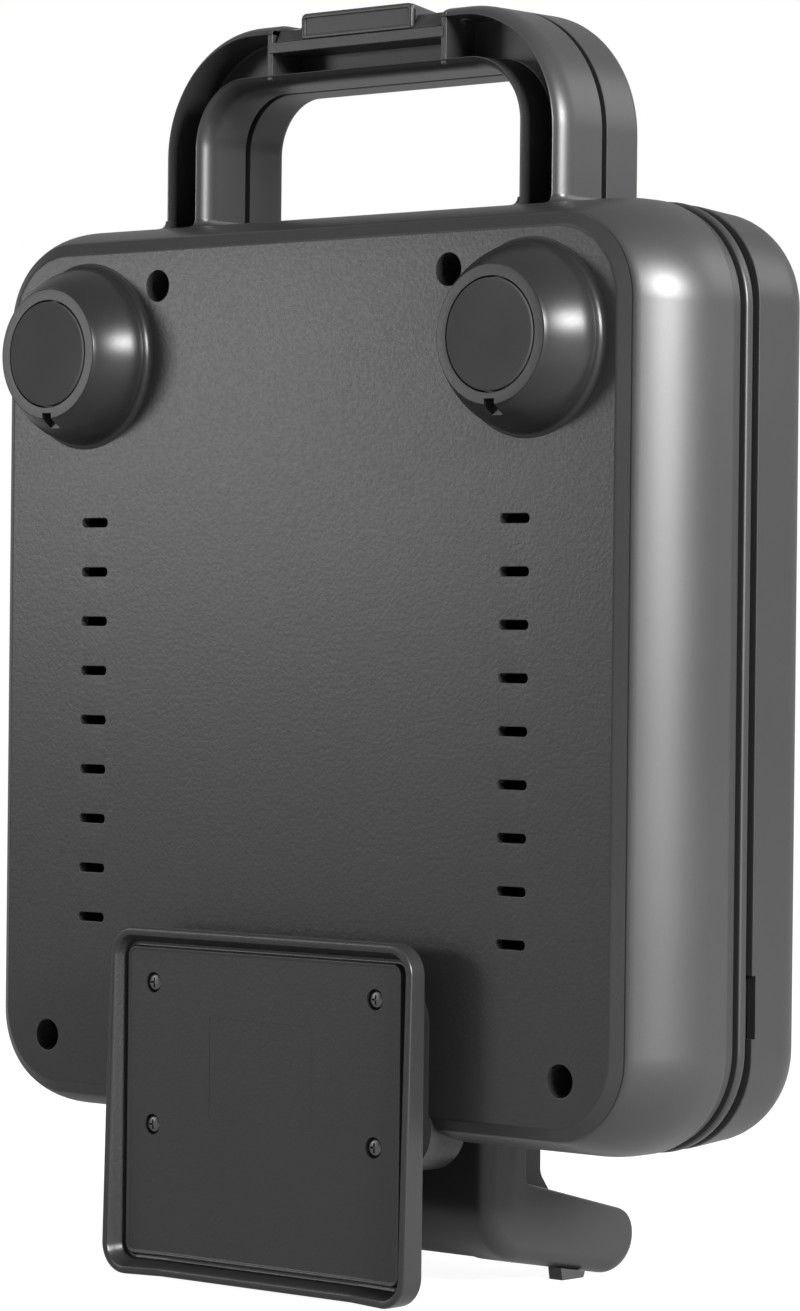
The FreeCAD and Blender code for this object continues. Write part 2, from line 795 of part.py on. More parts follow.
def well_section(section, side, upper, inset, blunted=True):
    """A three-cornered outline beside one slice's diagonal, moved in by an inset."""
    inset = f"({inset})"
    near = f"(Dims.well_gap / 2 + {inset})"
    far = f"(Dims.well_gap / 2 + Dims.well_side - {inset})"
    tall = f"(Dims.well_height / 2 - {inset})"
    across = f"(Dims.well_ridge + 1.4 * {inset})"
    along = f"(1.27 * Dims.well_ridge + 1.8 * {inset})"
    blunt = f"(6 - 0.4 * {inset})"
    tip = f"(3.4 - 0.2 * {inset})"
    flip_u = "" if side > 0 else "-"
    if upper > 0:
        corners = [
            (f"{flip_u}{near}", tall, blunt),
            (f"{flip_u}({far} - {across})", tall, tip),
            (f"{flip_u}{near}", f"-({tall} - {along})", tip),
        ]
    else:
        corners = [
            (f"{flip_u}{far}", f"-{tall}", blunt),
            (f"{flip_u}({near} + {across})", f"-{tall}", tip),
            (f"{flip_u}{far}", f"({tall} - {along})", tip),
        ]
    outline(section, corners if blunted else [corner[:2] for corner in corners])
    return section


def element(label, depth):
    """A flattened heating element bent round the back of a plate, open between its tails."""
    item = body(label, "0", depth, "0")
    bar = sketch(item, "XZ_Plane", "-Dims.element_radius")
    corners = []
    for side, grow in ((1, "+"), (-1, "-")):
        wide = f"(Dims.element_width {grow} Dims.element_radius)"
        tall = f"(Dims.element_height {grow} Dims.element_radius)"
        bend = f"Dims.element_bend {grow} Dims.element_radius"
        run = [
            ("Dims.element_tail", f"-{tall}"),
            (wide, f"-{tall}", bend),
            (wide, tall, bend),
            (f"-{wide}", tall, bend),
            (f"-{wide}", f"-{tall}", bend),
            ("-Dims.element_tail", f"-{tall}"),
        ]
        corners += run[::side]
    outline(bar, corners)
    pad(item, bar, "2 * Dims.element_radius")
    return item


WELL_BACK = "(Dims.ring_back + Dims.parting_gap - Dims.well_floor - Dims.shell_wall)"
TRAY_Y = f"({WELL_BACK} - Dims.tray_depth)"


def reflector():
    """A pressed tray behind the lower element, open towards the plate."""
    item = body("lower_reflector", "0", TRAY_Y, "0")
    rim = sketch(item)
    centred(rim, "Dims.tray_half_width", "Dims.tray_half_height", "Dims.tray_corner")
    pad(item, rim, "Dims.tray_depth")
    inside = sketch(item, "XZ_Plane", "Dims.tray_wall")
    centred(
        inside,
        "Dims.tray_half_width - Dims.tray_wall",
        "Dims.tray_half_height - Dims.tray_wall",
        "Dims.tray_corner - Dims.tray_wall",
    )
    pocket(item, inside, "Dims.tray_depth")
    return item


# Handle halves and the latch between them.


HANDLE_ROOT = "Dims.body_half_height - 1.6"


def handle_section(owner, depth, inset):
    """The bail's outline, up one leg, over the top, down the other and back round the grip."""
    item = sketch(owner, "XZ_Plane", depth)
    inset = f"({inset})"
    outline(
        item,
        [
            (f"-Dims.handle_half_width + {inset}", HANDLE_ROOT),
            (
                f"-Dims.handle_half_width + {inset}",
                f"Dims.handle_top - {inset}",
                f"Dims.handle_corner - {inset}",
            ),
            (
                f"Dims.handle_half_width - {inset}",
                f"Dims.handle_top - {inset}",
                f"Dims.handle_corner - {inset}",
            ),
            (f"Dims.handle_half_width - {inset}", HANDLE_ROOT),
            (f"Dims.grip_half_width + {inset}", HANDLE_ROOT),
            (
                f"Dims.grip_half_width + {inset}",
                f"Dims.grip_top + {inset}",
                f"Dims.grip_corner + {inset}",
            ),
            (
                f"-Dims.grip_half_width - {inset}",
                f"Dims.grip_top + {inset}",
                f"Dims.grip_corner + {inset}",
            ),
            (f"-Dims.grip_half_width - {inset}", HANDLE_ROOT),
        ],
    )
    return item


def leg_flares(item, back):
    """The cove with which each leg runs out into the body's end."""
    for side in (-1, 1):
        sections = []
        for rise, share in (("Dims.leg_flare", 0), ("0.35 * Dims.leg_flare", 0.3), ("-0.8", 1)):
            level = sketch(item, "XY_Plane", f"Dims.body_half_height + {rise}")
            spread = f"{share} * Dims.leg_flare"
            near = f"(Dims.grip_half_width - {spread})"
            far = f"(Dims.handle_half_width + {spread})"
            low_u, high_u = (near, far) if side > 0 else (f"-{far}", f"-{near}")
            rectangle(level, low_u, high_u, f"Dims.handle_front - {spread}", back)
            sections.append(level)
        loft(item, sections, ruled=True)


def lower_handle(envelope):
    """A channel-section bail with cross ribs and a recess for the latch."""
    item = body("lower_handle_block", export=False)
    shoulder_y = "Dims.handle_front + 0.866 * Dims.handle_round"
    front = "(Dims.handle_parting - Dims.handle_groove / 2)"
    pad(item, handle_section(item, shoulder_y, "0"), f"{front} - ({shoulder_y})")
    rounding(
        item,
        lambda depth, inset: handle_section(item, depth, inset),
        shoulder_y,
        "0",
        "Dims.handle_round",
        last=60,
        sign="-",
    )
    leg_flares(item, front)
    channel = handle_section(item, "Dims.handle_front - Dims.leg_flare", "Dims.handle_rim")
    pocket(item, channel, "Dims.channel_depth + Dims.leg_flare")
    web_low = "Dims.grip_top + Dims.handle_round / 2"
    for sign in ("-", ""):
        rib = sketch(item, "XZ_Plane", "Dims.handle_front + 0.3")
        low_u, high_u = f"{sign}Dims.rib_x - Dims.rib_wall / 2", f"{sign}Dims.rib_x + Dims.rib_wall / 2"
        rectangle(rib, low_u, high_u, web_low, "Dims.handle_top - Dims.handle_round / 2")
        pad(item, rib, "Dims.channel_depth + 1")
    shelf = sketch(item, "XZ_Plane", "Dims.handle_front + 0.3")
    rectangle(shelf, "-Dims.rib_x", "Dims.rib_x", "Dims.shelf_top - Dims.shelf_wall", "Dims.shelf_top")
    pad(item, shelf, "Dims.channel_depth + 1")
    recess = sketch(item, "XZ_Plane", "Dims.handle_front")
    edge = "(Dims.rib_x - Dims.rib_wall / 2)"
    rectangle(recess, f"-{edge}", edge, "Dims.shelf_top", "Dims.handle_top + 1")
    pocket(item, recess, "Dims.handle_parting")
    pivot = sketch(item, "YZ_Plane", "0")
    circle(pivot, "Dims.latch_y", "Dims.latch_z", "Dims.latch_pin + 0.05")
    pocket(item, pivot, "2 * Dims.rib_x + 6", symmetric=True)
    return keep(cut("lower_handle", item, envelope), "lower_handle")


def upper_handle(envelope):
    """The lid's half of the handle: solid outside, rounded at its back, notched for the latch."""
    item = body("upper_handle_block", export=False)
    front = "Dims.handle_parting + Dims.handle_groove / 2"
    shoulder_y = "Dims.handle_back - Dims.handle_round"
    pad(item, handle_section(item, front, "0"), f"{shoulder_y} - ({front})")
    rounding(
        item,
        lambda depth, inset: handle_section(item, depth, inset),
        shoulder_y,
        "0",
        "Dims.handle_round",
    )
    notch = sketch(item, "XZ_Plane", front)
    edge = "Dims.tongue_half_width + 1"
    rectangle(notch, f"-({edge})", edge, "Dims.shelf_top", "Dims.handle_top + 1")
    pocket(item, notch, f"Dims.latch_reach + 1.5 - ({front})")
    return keep(cut("upper_handle", item, envelope), "upper_handle")


def latch_lever():
    """A rocker on a cross pin: pressing the tongue lifts the far edge out of the lid's notch."""
    item = body("latch_lever", "0", "Dims.latch_y", "Dims.latch_z")
    front = "(Dims.seat_gap + 0.25 - Dims.latch_arm)"
    parting = "Dims.handle_parting - Dims.handle_groove / 2 - Dims.latch_y - 0.5"
    top = "Dims.latch_drop"
    under = "-Dims.latch_low - 0.7"
    wings = sketch(item, "YZ_Plane")
    outline(
        wings,
        [
            (f"{front} + 0.5", "-Dims.latch_low"),
            ("-1.5", under),
            (parting, under),
            (parting, f"{top} - 0.9"),
            (f"{front} + 2.4", f"{top} - 1.1", "1"),
        ],
    )
    pad(item, wings, "2 * Dims.latch_half_width", symmetric=True)
    tongue = sketch(item, "YZ_Plane")
    outline(
        tongue,
        [
            (front, "-Dims.latch_low"),
            ("-1.5", under),
            ("Dims.latch_reach - Dims.latch_y", "-1.2"),
            ("Dims.latch_reach - Dims.latch_y", f"{top} - 1", "1"),
            ("0.8 * Dims.latch_arm", top, "4"),
            (front, f"{top} + Dims.tongue_rise", "1"),
        ],
    )
    pad(item, tongue, "2 * Dims.tongue_half_width", symmetric=True)
    bore = sketch(item, "YZ_Plane")
    circle(bore, "0", "0", "Dims.latch_pin + Dims.running_gap")
    pocket(item, bore, "2 * Dims.latch_half_width + 4", symmetric=True)
    bay = sketch(item, "YZ_Plane", "-(Dims.latch_half_width - 4.5)")
    rectangle(bay, "-4", "4", "-4", "2.7")
    pocket(item, bay, "6.6", symmetric=True)
    return item


def latch_pin():
    start = ("-Dims.rib_x - Dims.rib_wall / 2", "Dims.latch_y", "Dims.latch_z")
    return keep(rod("latch_pin", "Dims.latch_pin", "2 * Dims.rib_x + Dims.rib_wall", start, "X"), "latch_pin")


def latch_spring():
    start = ("-Dims.latch_half_width + 2", "Dims.latch_y", "Dims.latch_z")
    outer = rod("spring_outer", "2.3", "5", start, "X")
    inner = rod("spring_inner", "Dims.latch_pin + 0.05", "5", start, "X")
    return keep(cut("latch_spring", outer, inner), "latch_spring")


# Hinge: two cranked arms on the lower body, a pin on rollers that floats in them, the lid's knuckle.


ARM_ROOT = "-(Dims.body_half_height - 21)"
ARM_SLOPE = "((Dims.arm_end_low - Dims.arm_heel) / (Dims.arm_reach - Dims.arm_front))"


def hinge_arm(side, sign, envelope):
    item = body(f"hinge_arm_{side}_block", export=False)
    middle = f"{sign}(Dims.arm_outer + Dims.arm_inner) / 2"
    profile = sketch(item, "YZ_Plane", middle)
    outline(
        profile,
        [
            ("Dims.arm_front", ARM_ROOT),
            ("Dims.arm_front", "-Dims.arm_heel", "18"),
            ("Dims.arm_reach", "-Dims.arm_end_low", "Dims.arm_round"),
            ("Dims.arm_reach", "-Dims.arm_end_top", "Dims.arm_top_round"),
            ("Dims.arm_elbow", "-Dims.arm_shoulder", "2"),
            ("Dims.arm_elbow", "-Dims.body_half_height - 1"),
            ("Dims.ring_back", "-Dims.body_half_height - 1"),
            ("Dims.ring_back", ARM_ROOT),
        ],
    )
    pad(item, profile, "Dims.arm_outer - Dims.arm_inner", symmetric=True)
    doc.recompute()
    track = sketch(item, "YZ_Plane", f"{sign}(Dims.arm_inner - 1)")
    rectangle(
        track,
        "Dims.pin_y - Dims.roller_radius - 0.3",
        "Dims.pin_y + Dims.float_travel + Dims.roller_radius + 0.3",
        "-Dims.pin_z - Dims.roller_radius - 0.3",
        "-Dims.pin_z + Dims.roller_radius + 0.3",
        "Dims.roller_radius",
    )
    pocket(item, track, "Dims.roller_width + 2", flip=not sign)
    return keep(cut(f"hinge_arm_{side}", item, envelope), f"hinge_arm_{side}")


def hinge_bar(envelope):
    item = body("hinge_bar_block", export=False)
    back = "(Dims.arm_front + 1.5 * Dims.bar_depth)"
    profile = sketch(item, "YZ_Plane")
    outline(
        profile,
        [
            ("Dims.arm_front", ARM_ROOT),
            ("Dims.arm_front", "-Dims.arm_heel", "18"),
            (back, f"-Dims.arm_heel - 1.5 * Dims.bar_depth * {ARM_SLOPE}"),
            (back, ARM_ROOT),
        ],
    )
    pad(item, profile, "2 * Dims.arm_inner", symmetric=True)
    spare = sketch(item, "YZ_Plane")
    edge = "Dims.arm_front + Dims.bar_depth"
    rectangle(spare, edge, f"{back} + 1", "-Dims.mid_height", "-Dims.body_half_height + 22")
    pocket(item, spare, "2 * Dims.arm_inner + 2", symmetric=True)
    return keep(cut("hinge_crossbar", item, envelope), "hinge_crossbar")


def hinge_pads():
    """Rubber blocks under the arms, on which the upright body stands."""
    pads = []
    for sign, side in (("-", "left"), ("", "right")):
        item = body(f"hinge_pad_block_{side}", export=False)
        middle = "(Dims.arm_outer - Dims.stand_pad_inset - Dims.stand_pad_width / 2)"
        profile = sketch(item, "YZ_Plane", f"{sign}{middle}")
        near = "(Dims.pin_y - Dims.roller_radius)"
        far = f"({near} + Dims.stand_pad_length)"
        outline(
            profile,
            [
                (near, f"-Dims.arm_heel - ({near} - Dims.arm_front) * {ARM_SLOPE}"),
                (f"{near} + 0.6", "-Dims.mid_height"),
                (f"{far} - 0.6", "-Dims.mid_height"),
                (far, f"-Dims.arm_heel - ({far} - Dims.arm_front) * {ARM_SLOPE}"),
            ],
        )
        pad(item, profile, "Dims.stand_pad_width", symmetric=True)
        pads.append(item)
    return group("hinge_pads", pads)


def hinge_pin():
    reach = "Dims.arm_inner + Dims.roller_width + 0.3"
    start = (f"-({reach})", "Dims.pin_y", "-Dims.pin_z")
    return keep(rod("hinge_pin", "Dims.pin_radius", f"2 * ({reach})", start, "X"), "hinge_pin")


def float_roller(side, sign):
    low = "-Dims.arm_inner - Dims.roller_width - 0.3" if sign else "Dims.arm_inner + 0.3"
    start = (low, "Dims.pin_y", "-Dims.pin_z")
    outer = rod("roller", "Dims.roller_radius", "Dims.roller_width", start, "X")
    bore = rod("roller_bore", "Dims.pin_radius", "Dims.roller_width", start, "X")
    return keep(cut(f"float_roller_{side}", outer, bore), f"float_roller_{side}")


def lid_knuckle(envelope):
    item = body("lid_knuckle_block", export=False)
    front = "Dims.lid_front + Dims.knuckle_front"
    back = "Dims.lid_front + Dims.knuckle_back"
    profile = sketch(item, "YZ_Plane")
    outline(
        profile,
        [
            (front, ARM_ROOT),
            (front, "-Dims.pin_z + 8", "6"),
            ("Dims.pin_y - Dims.knuckle_radius + 1", "-Dims.pin_z - Dims.knuckle_radius + 1", "8"),
            ("Dims.pin_y + Dims.knuckle_radius", "-Dims.pin_z - Dims.knuckle_radius + 1", "8"),
            ("Dims.pin_y + Dims.knuckle_radius", "-Dims.pin_z + 9", "5"),
            (back, "-Dims.pin_z + 16", "5"),
            (back, ARM_ROOT),
        ],
    )
    pad(item, profile, "2 * Dims.knuckle_half_width", symmetric=True)
    bore = sketch(item, "YZ_Plane")
    circle(bore, "Dims.pin_y", "-Dims.pin_z", "Dims.pin_radius + Dims.running_gap")
    pocket(item, bore, "2 * Dims.knuckle_half_width + 4", symmetric=True)
    return keep(cut("lid_knuckle", item, envelope), "lid_knuckle")


# Lid.


def lid_section(owner, depth, inset, bend=0.97):
    item = sketch(owner, "XZ_Plane", depth)
    centred(
        item,
        f"Dims.body_half_width - Dims.lid_inset - ({inset})",
        f"Dims.body_half_height - Dims.lid_inset - ({inset})",
        f"Dims.body_corner - 4 * Dims.lid_inset - {bend} * ({inset})",
    )
    return item


def lid_form(owner, inner="0", remove=False):
    """The lid's outside, or its inside when inner is the wall."""
    round_y = "(Dims.lid_back - Dims.lid_round)"
    skirt = [
        lid_section(owner, "Dims.lid_front", inner),
        lid_section(owner, round_y, f"Dims.lid_draft + {inner}"),
    ]
    loft(owner, skirt, remove, ruled=True)
    rounding(
        owner,
        lambda depth, inset: lid_section(owner, depth, inset),
        round_y,
        f"Dims.lid_draft + {inner}",
        f"(Dims.lid_round - {inner})",
        steps=2 if remove else 4,
        remove=remove,
    )
    if remove:
        return
    rise = [
        lid_section(owner, "Dims.lid_back", "Dims.lid_draft + Dims.lid_round"),
        lid_section(owner, "Dims.lid_back + Dims.lid_crown", "2.2 * Dims.lid_round", 0.7),
    ]
    loft(owner, rise, ruled=True)


def lid_envelope():
    item = body("lid_envelope", export=False)
    lid_form(item)
    return item


def lid_cover():
    item = body("lid_cover")
    lid_form(item)
    lid_form(item, "Dims.wall", remove=True)
    relief = sketch(item, "XY_Plane", "-0.684 * Dims.body_half_height")
    for sign in ("-", ""):
        low_u, high_u = ("-Dims.body_half_width - 1", "-Dims.body_half_width + 6")
        if not sign:
            low_u, high_u = ("Dims.body_half_width - 6", "Dims.body_half_width + 1")
        rectangle(relief, low_u, high_u, "Dims.lid_front - 1", "Dims.lid_front + 1.4")
    pocket(item, relief, "16", symmetric=True)
    lamps = sketch(item, "XZ_Plane", "Dims.lid_back - 2 * Dims.wall")
    for sign in ("-", ""):
        circle(lamps, f"{sign}Dims.lamp_x", "Dims.lamp_z", "Dims.lamp_radius + 0.1")
    pocket(item, lamps, "5 * Dims.wall")
    return item


def lid_ring():
    """The frame inside the lid's edge that carries the upper plate."""
    item = body("lid_frame")
    front = "(Dims.lid_front + Dims.parting_gap)"
    flange = "(Dims.lid_front - Dims.parting_gap + Dims.rim_rise + Dims.flange_wall)"
    band = lid_section(item, front, "Dims.wall + 0.6 * Dims.lid_draft")
    pad(item, band, f"{flange} - {front} + 3")
    hollow = lid_section(item, front, "Dims.ring_width + Dims.ledge")
    pocket(item, hollow, "12")
    seat = lid_section(item, front, "Dims.ring_width + 2")
    pocket(item, seat, f"{flange} - {front}")
    return item


def lamp(label, sign):
    start = (f"{sign}Dims.lamp_x", "Dims.lid_back - 6", "Dims.lamp_z")
    return keep(rod(label, "Dims.lamp_radius", "6.9", start), label)


# Electrical pieces behind the lower plate and in the lid.


def small_parts():
    strap = box("thermostat_strap", ("-18", f"{WELL_BACK} - 0.8", "-8"), ("36", "0.8", "16"))
    cup = rod("thermostat_cup", "7.4", "6", ("0", f"{WELL_BACK} - 6.8", "0"))
    keep(union("thermostat", [strap, cup]), "thermostat")
    fuse_at = ("24", f"{WELL_BACK} - 2.3", "0")
    keep(rod("thermal_fuse", "2.2", "14", fuse_at, "X"), "thermal_fuse")
    block_x = "-(Dims.cover_half_width - Dims.terminal_inset_x)"
    block_at = (block_x, "Dims.cover_wall", "-(Dims.cover_half_height - Dims.terminal_inset_z)")
    keep(box("terminal_body", block_at, ("34", "11", "12")), "terminal_block")


def build():
    lower = lower_envelope()
    upper = lid_envelope()
    base_cover()
    lower_housing()
    screw_posts()
    cover_screws()
    for side, sign in (("left", "-"), ("right", "")):
        foot(side, sign)
        foot_pad(side, sign)
        hinge_arm(side, sign, lower)
        float_roller(side, sign)
    cord_plate()
    cord_plate_screws()
    cord_neck(lower)
    cord_gland()
    trim_ring()
    cooking_plate("lower_cooking_plate", "Dims.ring_back + Dims.parting_gap", "-")
    cooking_plate("upper_cooking_plate", "Dims.lid_front - Dims.parting_gap", "+")
    sunk = "Dims.well_floor + Dims.shell_wall + Dims.element_radius + Dims.seat_gap"
    element("lower_heating_element", f"Dims.ring_back + Dims.parting_gap - ({sunk})")
    element("upper_heating_element", f"Dims.lid_front - Dims.parting_gap + {sunk}")
    reflector()
    lower_handle(lower)
    upper_handle(upper)
    latch_lever()
    latch_pin()
    latch_spring()
    hinge_bar(lower)
    hinge_pads()
    hinge_pin()
    lid_knuckle(upper)
    lid_cover()
    lid_ring()
    lamp("power_lamp", "-")
    lamp("ready_lamp", "")
    small_parts()


REMOVERS = ("PartDesign::Pocket", "PartDesign::Groove", "PartDesign::SubtractiveLoft")


def check():
    """Stop at the first object that failed, or that took nothing away where it should."""
    for item in doc.Objects:
        if "Invalid" in item.State or "Error" in item.State:
            raise RuntimeError(f"{item.Label} ({item.Name}) failed: {item.State}")
        if item.TypeId in REMOVERS:
            before = item.BaseFeature.Shape.Volume
            if item.Shape.Volume > before - 0.01:
                raise RuntimeError(f"{item.Name} removes nothing")
    for item in PARTS:
        if item.Shape.isNull() or not item.Shape.isValid():
            raise RuntimeError(f"{item.Label} has no valid shape")


def write():
    os.makedirs("parts", exist_ok=True)
    for item in PARTS:
        item.Shape.exportStep(f"parts/{item.Label}.step")
        solids = len(item.Shape.Solids)
        print(f"{item.Label}: {solids} solid(s), {item.Shape.Volume / 1000:.2f} cm3")


build()
doc.recompute()
check()
write()
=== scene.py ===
import json
import math

import bmesh
import bpy
from mathutils import Matrix, Vector

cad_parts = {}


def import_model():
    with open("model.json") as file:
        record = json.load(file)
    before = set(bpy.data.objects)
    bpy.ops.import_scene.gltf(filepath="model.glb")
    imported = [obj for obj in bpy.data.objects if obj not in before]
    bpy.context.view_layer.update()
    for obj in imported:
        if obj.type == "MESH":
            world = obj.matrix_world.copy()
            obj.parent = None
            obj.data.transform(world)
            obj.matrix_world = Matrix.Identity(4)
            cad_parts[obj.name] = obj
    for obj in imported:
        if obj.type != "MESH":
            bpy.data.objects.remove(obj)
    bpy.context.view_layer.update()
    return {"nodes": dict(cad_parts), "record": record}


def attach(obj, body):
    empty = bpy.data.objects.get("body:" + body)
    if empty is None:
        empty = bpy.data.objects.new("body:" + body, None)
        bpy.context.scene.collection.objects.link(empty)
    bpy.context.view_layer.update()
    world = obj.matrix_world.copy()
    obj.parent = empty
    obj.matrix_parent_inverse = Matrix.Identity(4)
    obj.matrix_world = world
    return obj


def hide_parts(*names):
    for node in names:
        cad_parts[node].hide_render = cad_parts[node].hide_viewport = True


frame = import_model()

# Sizes in millimetres. Depth is measured from the base cover's face, height from the body's middle.
FACE_Y = -37.15
MID_Z = 161.0
# Half width, half height and corner radius: the body at its fullest, and at the cover's edge.
BODY_W, BODY_H, BODY_R = 120.0, 121.35, 28.0
COVER_W, COVER_H, COVER_R = 110.5, 116.35, 22.0
EDGE_Y, CROWN_Y = 2.3, 25.0
# Wall of the housing and the lid, and how many steps go round each corner of the body.
WALL = 2.5
CORNER_STEPS = 22
# Vertices closer than this, in metres, are one.
SAME_PLACE = 0.000001


def at(x, y, z):
    """A point of the drawing in the row's frame, in metres."""
    return Vector((x, y + FACE_Y, z + MID_Z)) / 1000


# Materials.


class Nodes:
    """Short calls for building one material's nodes."""

    def __init__(self, name):
        self.material = bpy.data.materials.new(name)
        self.material.use_nodes = True
        self.tree = self.material.node_tree
        self.shader = self.tree.nodes["Principled BSDF"]
        self.coords = self.add("ShaderNodeTexCoord").outputs["Object"]

    def add(self, kind):
        return self.tree.nodes.new(kind)

    def link(self, out, into):
        self.tree.links.new(out, into)

    def noise(self, scale, detail=2.0, rough=0.5):
        node = self.add("ShaderNodeTexNoise")
        node.inputs["Scale"].default_value = scale
        node.inputs["Detail"].default_value = detail
        node.inputs["Roughness"].default_value = rough
        self.link(self.coords, node.inputs["Vector"])
        return node.outputs["Fac"]

    def spread(self, value, low, high):
        """A noise, which mostly lies between 0.3 and 0.7, spread over the range from low to high."""
        node = self.add("ShaderNodeMapRange")
        for name, number in (("From Min", 0.3), ("From Max", 0.7), ("To Min", low), ("To Max", high)):
            node.inputs[name].default_value = number
        self.link(value, node.inputs["Value"])
        return node.outputs["Result"]

    def tint(self, value, low, high):
        node = self.add("ShaderNodeMix")
        node.data_type = "RGBA"
        node.inputs["A"].default_value = (*low, 1)
        node.inputs["B"].default_value = (*high, 1)
        self.link(value, node.inputs["Factor"])
        self.link(node.outputs["Result"], self.shader.inputs["Base Color"])

    def bump(self, layers):
        """Layers of (height, strength, distance in metres), each on top of the one before."""
        normal = None
        for height, strength, distance in layers:
            node = self.add("ShaderNodeBump")
            node.inputs["Strength"].default_value = strength
            node.inputs["Distance"].default_value = distance
            self.link(height, node.inputs["Height"])
            if normal is not None:
                self.link(normal, node.inputs["Normal"])
            normal = node.outputs["Normal"]
        self.link(normal, self.shader.inputs["Normal"])


# How far the sheen of plastic and paint wanders to either side of its roughness.
SHEEN_SPREAD = 0.02


def grey(value):
    """A dark neutral tone, very slightly cool."""
    return (value, value, value * 1.01)


def moulded(name, shade, rough, grain=0.25, grain_size=0.0011, specular=0.5):
    """Moulded plastic: spark-eroded grain, slow cloudiness, slightly uneven sheen."""
    mat = Nodes(name)
    cloud = mat.spread(mat.noise(18, 3), 0, 1)
    mat.tint(cloud, grey(shade * 0.94), grey(shade * 1.06))
    fine = mat.noise(1 / grain_size, 2, 0.6)
    sheen = mat.spread(fine, rough - SHEEN_SPREAD, rough + SHEEN_SPREAD)
    mat.link(sheen, mat.shader.inputs["Roughness"])
    mat.shader.inputs["Specular IOR Level"].default_value = specular
    mat.bump([(fine, grain, 0.00006)])
    return mat.material


def painted(name, shade, rough, specular):
    """Satin paint: fine flakes in the colour and a soft, slightly mottled gloss."""
    mat = Nodes(name)
    flakes = mat.noise(1600, 1, 0.7)
    mat.tint(mat.spread(flakes, 0, 1), grey(shade * 0.93), grey(shade * 1.07))
    slow = mat.noise(30, 3)
    sheen = mat.spread(slow, rough - SHEEN_SPREAD, rough + SHEEN_SPREAD)
    mat.link(sheen, mat.shader.inputs["Roughness"])
    mat.shader.inputs["Specular IOR Level"].default_value = specular
    mat.bump([(mat.noise(900, 2, 0.6), 0.08, 0.00004)])
    return mat.material


def rubber(name, shade):
    """Matt rubber with a fine tooth."""
    mat = Nodes(name)
    mat.tint(mat.spread(mat.noise(60, 3), 0, 1), grey(shade * 0.85), grey(shade * 1.15))
    mat.shader.inputs["Roughness"].default_value = 0.8
    mat.bump([(mat.noise(1400, 2), 0.3, 0.00008)])
    return mat.material


def steel(name, shade, rough):
    """Bare metal with a fine grain."""
    mat = Nodes(name)
    mat.tint(mat.spread(mat.noise(300, 2), 0, 1), grey(shade * 0.9), grey(shade * 1.05))
    mat.shader.inputs["Metallic"].default_value = 1.0
    mat.shader.inputs["Roughness"].default_value = rough
    mat.bump([(mat.noise(2500, 1), 0.1, 0.00003)])
    return mat.material


def lens(name, colour):
    """A glossy coloured lamp lens."""
    mat = Nodes(name)
    mat.tint(mat.noise(120, 1), colour, tuple(min(1, c * 1.3) for c in colour))
    mat.shader.inputs["Roughness"].default_value = 0.12
    mat.shader.inputs["Coat Weight"].default_value = 0.6
    mat.bump([(mat.noise(500, 1), 0.05, 0.0001)])
    return mat.material


MATERIALS = {
    "cover_plastic": moulded("cover_plastic", 0.018, 0.33, grain=0.7, specular=0.32),
    "housing_paint": painted("housing_paint", 0.019, 0.40, specular=0.55),
    "ring_paint": painted("ring_paint", 0.016, 0.40, specular=0.42),
    "lid_paint": painted("lid_paint", 0.017, 0.40, specular=0.42),
    "black_plastic": moulded("black_plastic", 0.022, 0.36, 0.08, grain_size=0.0007, specular=0.32),
    "foot_plastic": moulded("foot_plastic", 0.011, 0.33, 0.02, grain_size=0.0007, specular=0.26),
    "pad_rubber": rubber("pad_rubber", 0.022),
    "screw_steel": steel("screw_steel", 0.10, 0.35),
    "pin_steel": steel("pin_steel", 0.55, 0.25),
    "plate_coating": moulded("plate_coating", 0.018, 0.38, grain=0.5, grain_size=0.0008),
    "element_steel": steel("element_steel", 0.30, 0.5),
    "tray_metal": steel("tray_metal", 0.70, 0.3),
    "switch_metal": steel("switch_metal", 0.55, 0.45),
    "terminal_plastic": moulded("terminal_plastic", 0.55, 0.5),
    "red_lens": lens("red_lens", (0.45, 0.02, 0.015)),
    "green_lens": lens("green_lens", (0.02, 0.30, 0.06)),
}

slots = {entry["node"]: entry["material_slot"] for entry in frame["record"]["subparts"]}


def paint(piece, slot):
    piece.data.materials.clear()
    piece.data.materials.append(MATERIALS[slot])


def soften(node):
    """Smooth shading on a CAD node, with its crisp edges kept."""
    node.data.polygons.foreach_set("use_smooth", [True] * len(node.data.polygons))
    weld = node.modifiers.new("weld", "WELD")
    weld.merge_threshold = 2 * SAME_PLACE
    split = node.modifiers.new("edges", "EDGE_SPLIT")
    split.split_angle = math.radians(30)


for name, node in frame["nodes"].items():
    paint(node, slots[name])
    soften(node)


# Mesh helpers.


def ring(depth, half_w, half_h, radius):
    """A rounded rectangle of points at one depth."""
    points = []
    corners = ((1, 1, 0), (-1, 1, 90), (-1, -1, 180), (1, -1, 270))
    for side, end, start in corners:
        cx, cz = side * (half_w - radius), end * (half_h - radius)
        for i in range(CORNER_STEPS + 1):
            turn = math.radians(start + 90 * i / CORNER_STEPS)
            points.append(at(cx + radius * math.cos(turn), depth, cz + radius * math.sin(turn)))
    return points


def rectangle(us, vs, *radius):
    """Corners of a rectangle between two values each way, for trace."""
    places = ((us[0], vs[0]), (us[1], vs[0]), (us[1], vs[1]), (us[0], vs[1]))
    return [(u, v, *radius) for u, v in places]


def circle(u, v, radius, count):
    """Points of a circle, as an outline."""
    turns = [2 * math.pi * i / count for i in range(count)]
    return [Vector((u + radius * math.cos(turn), v + radius * math.sin(turn))) for turn in turns]


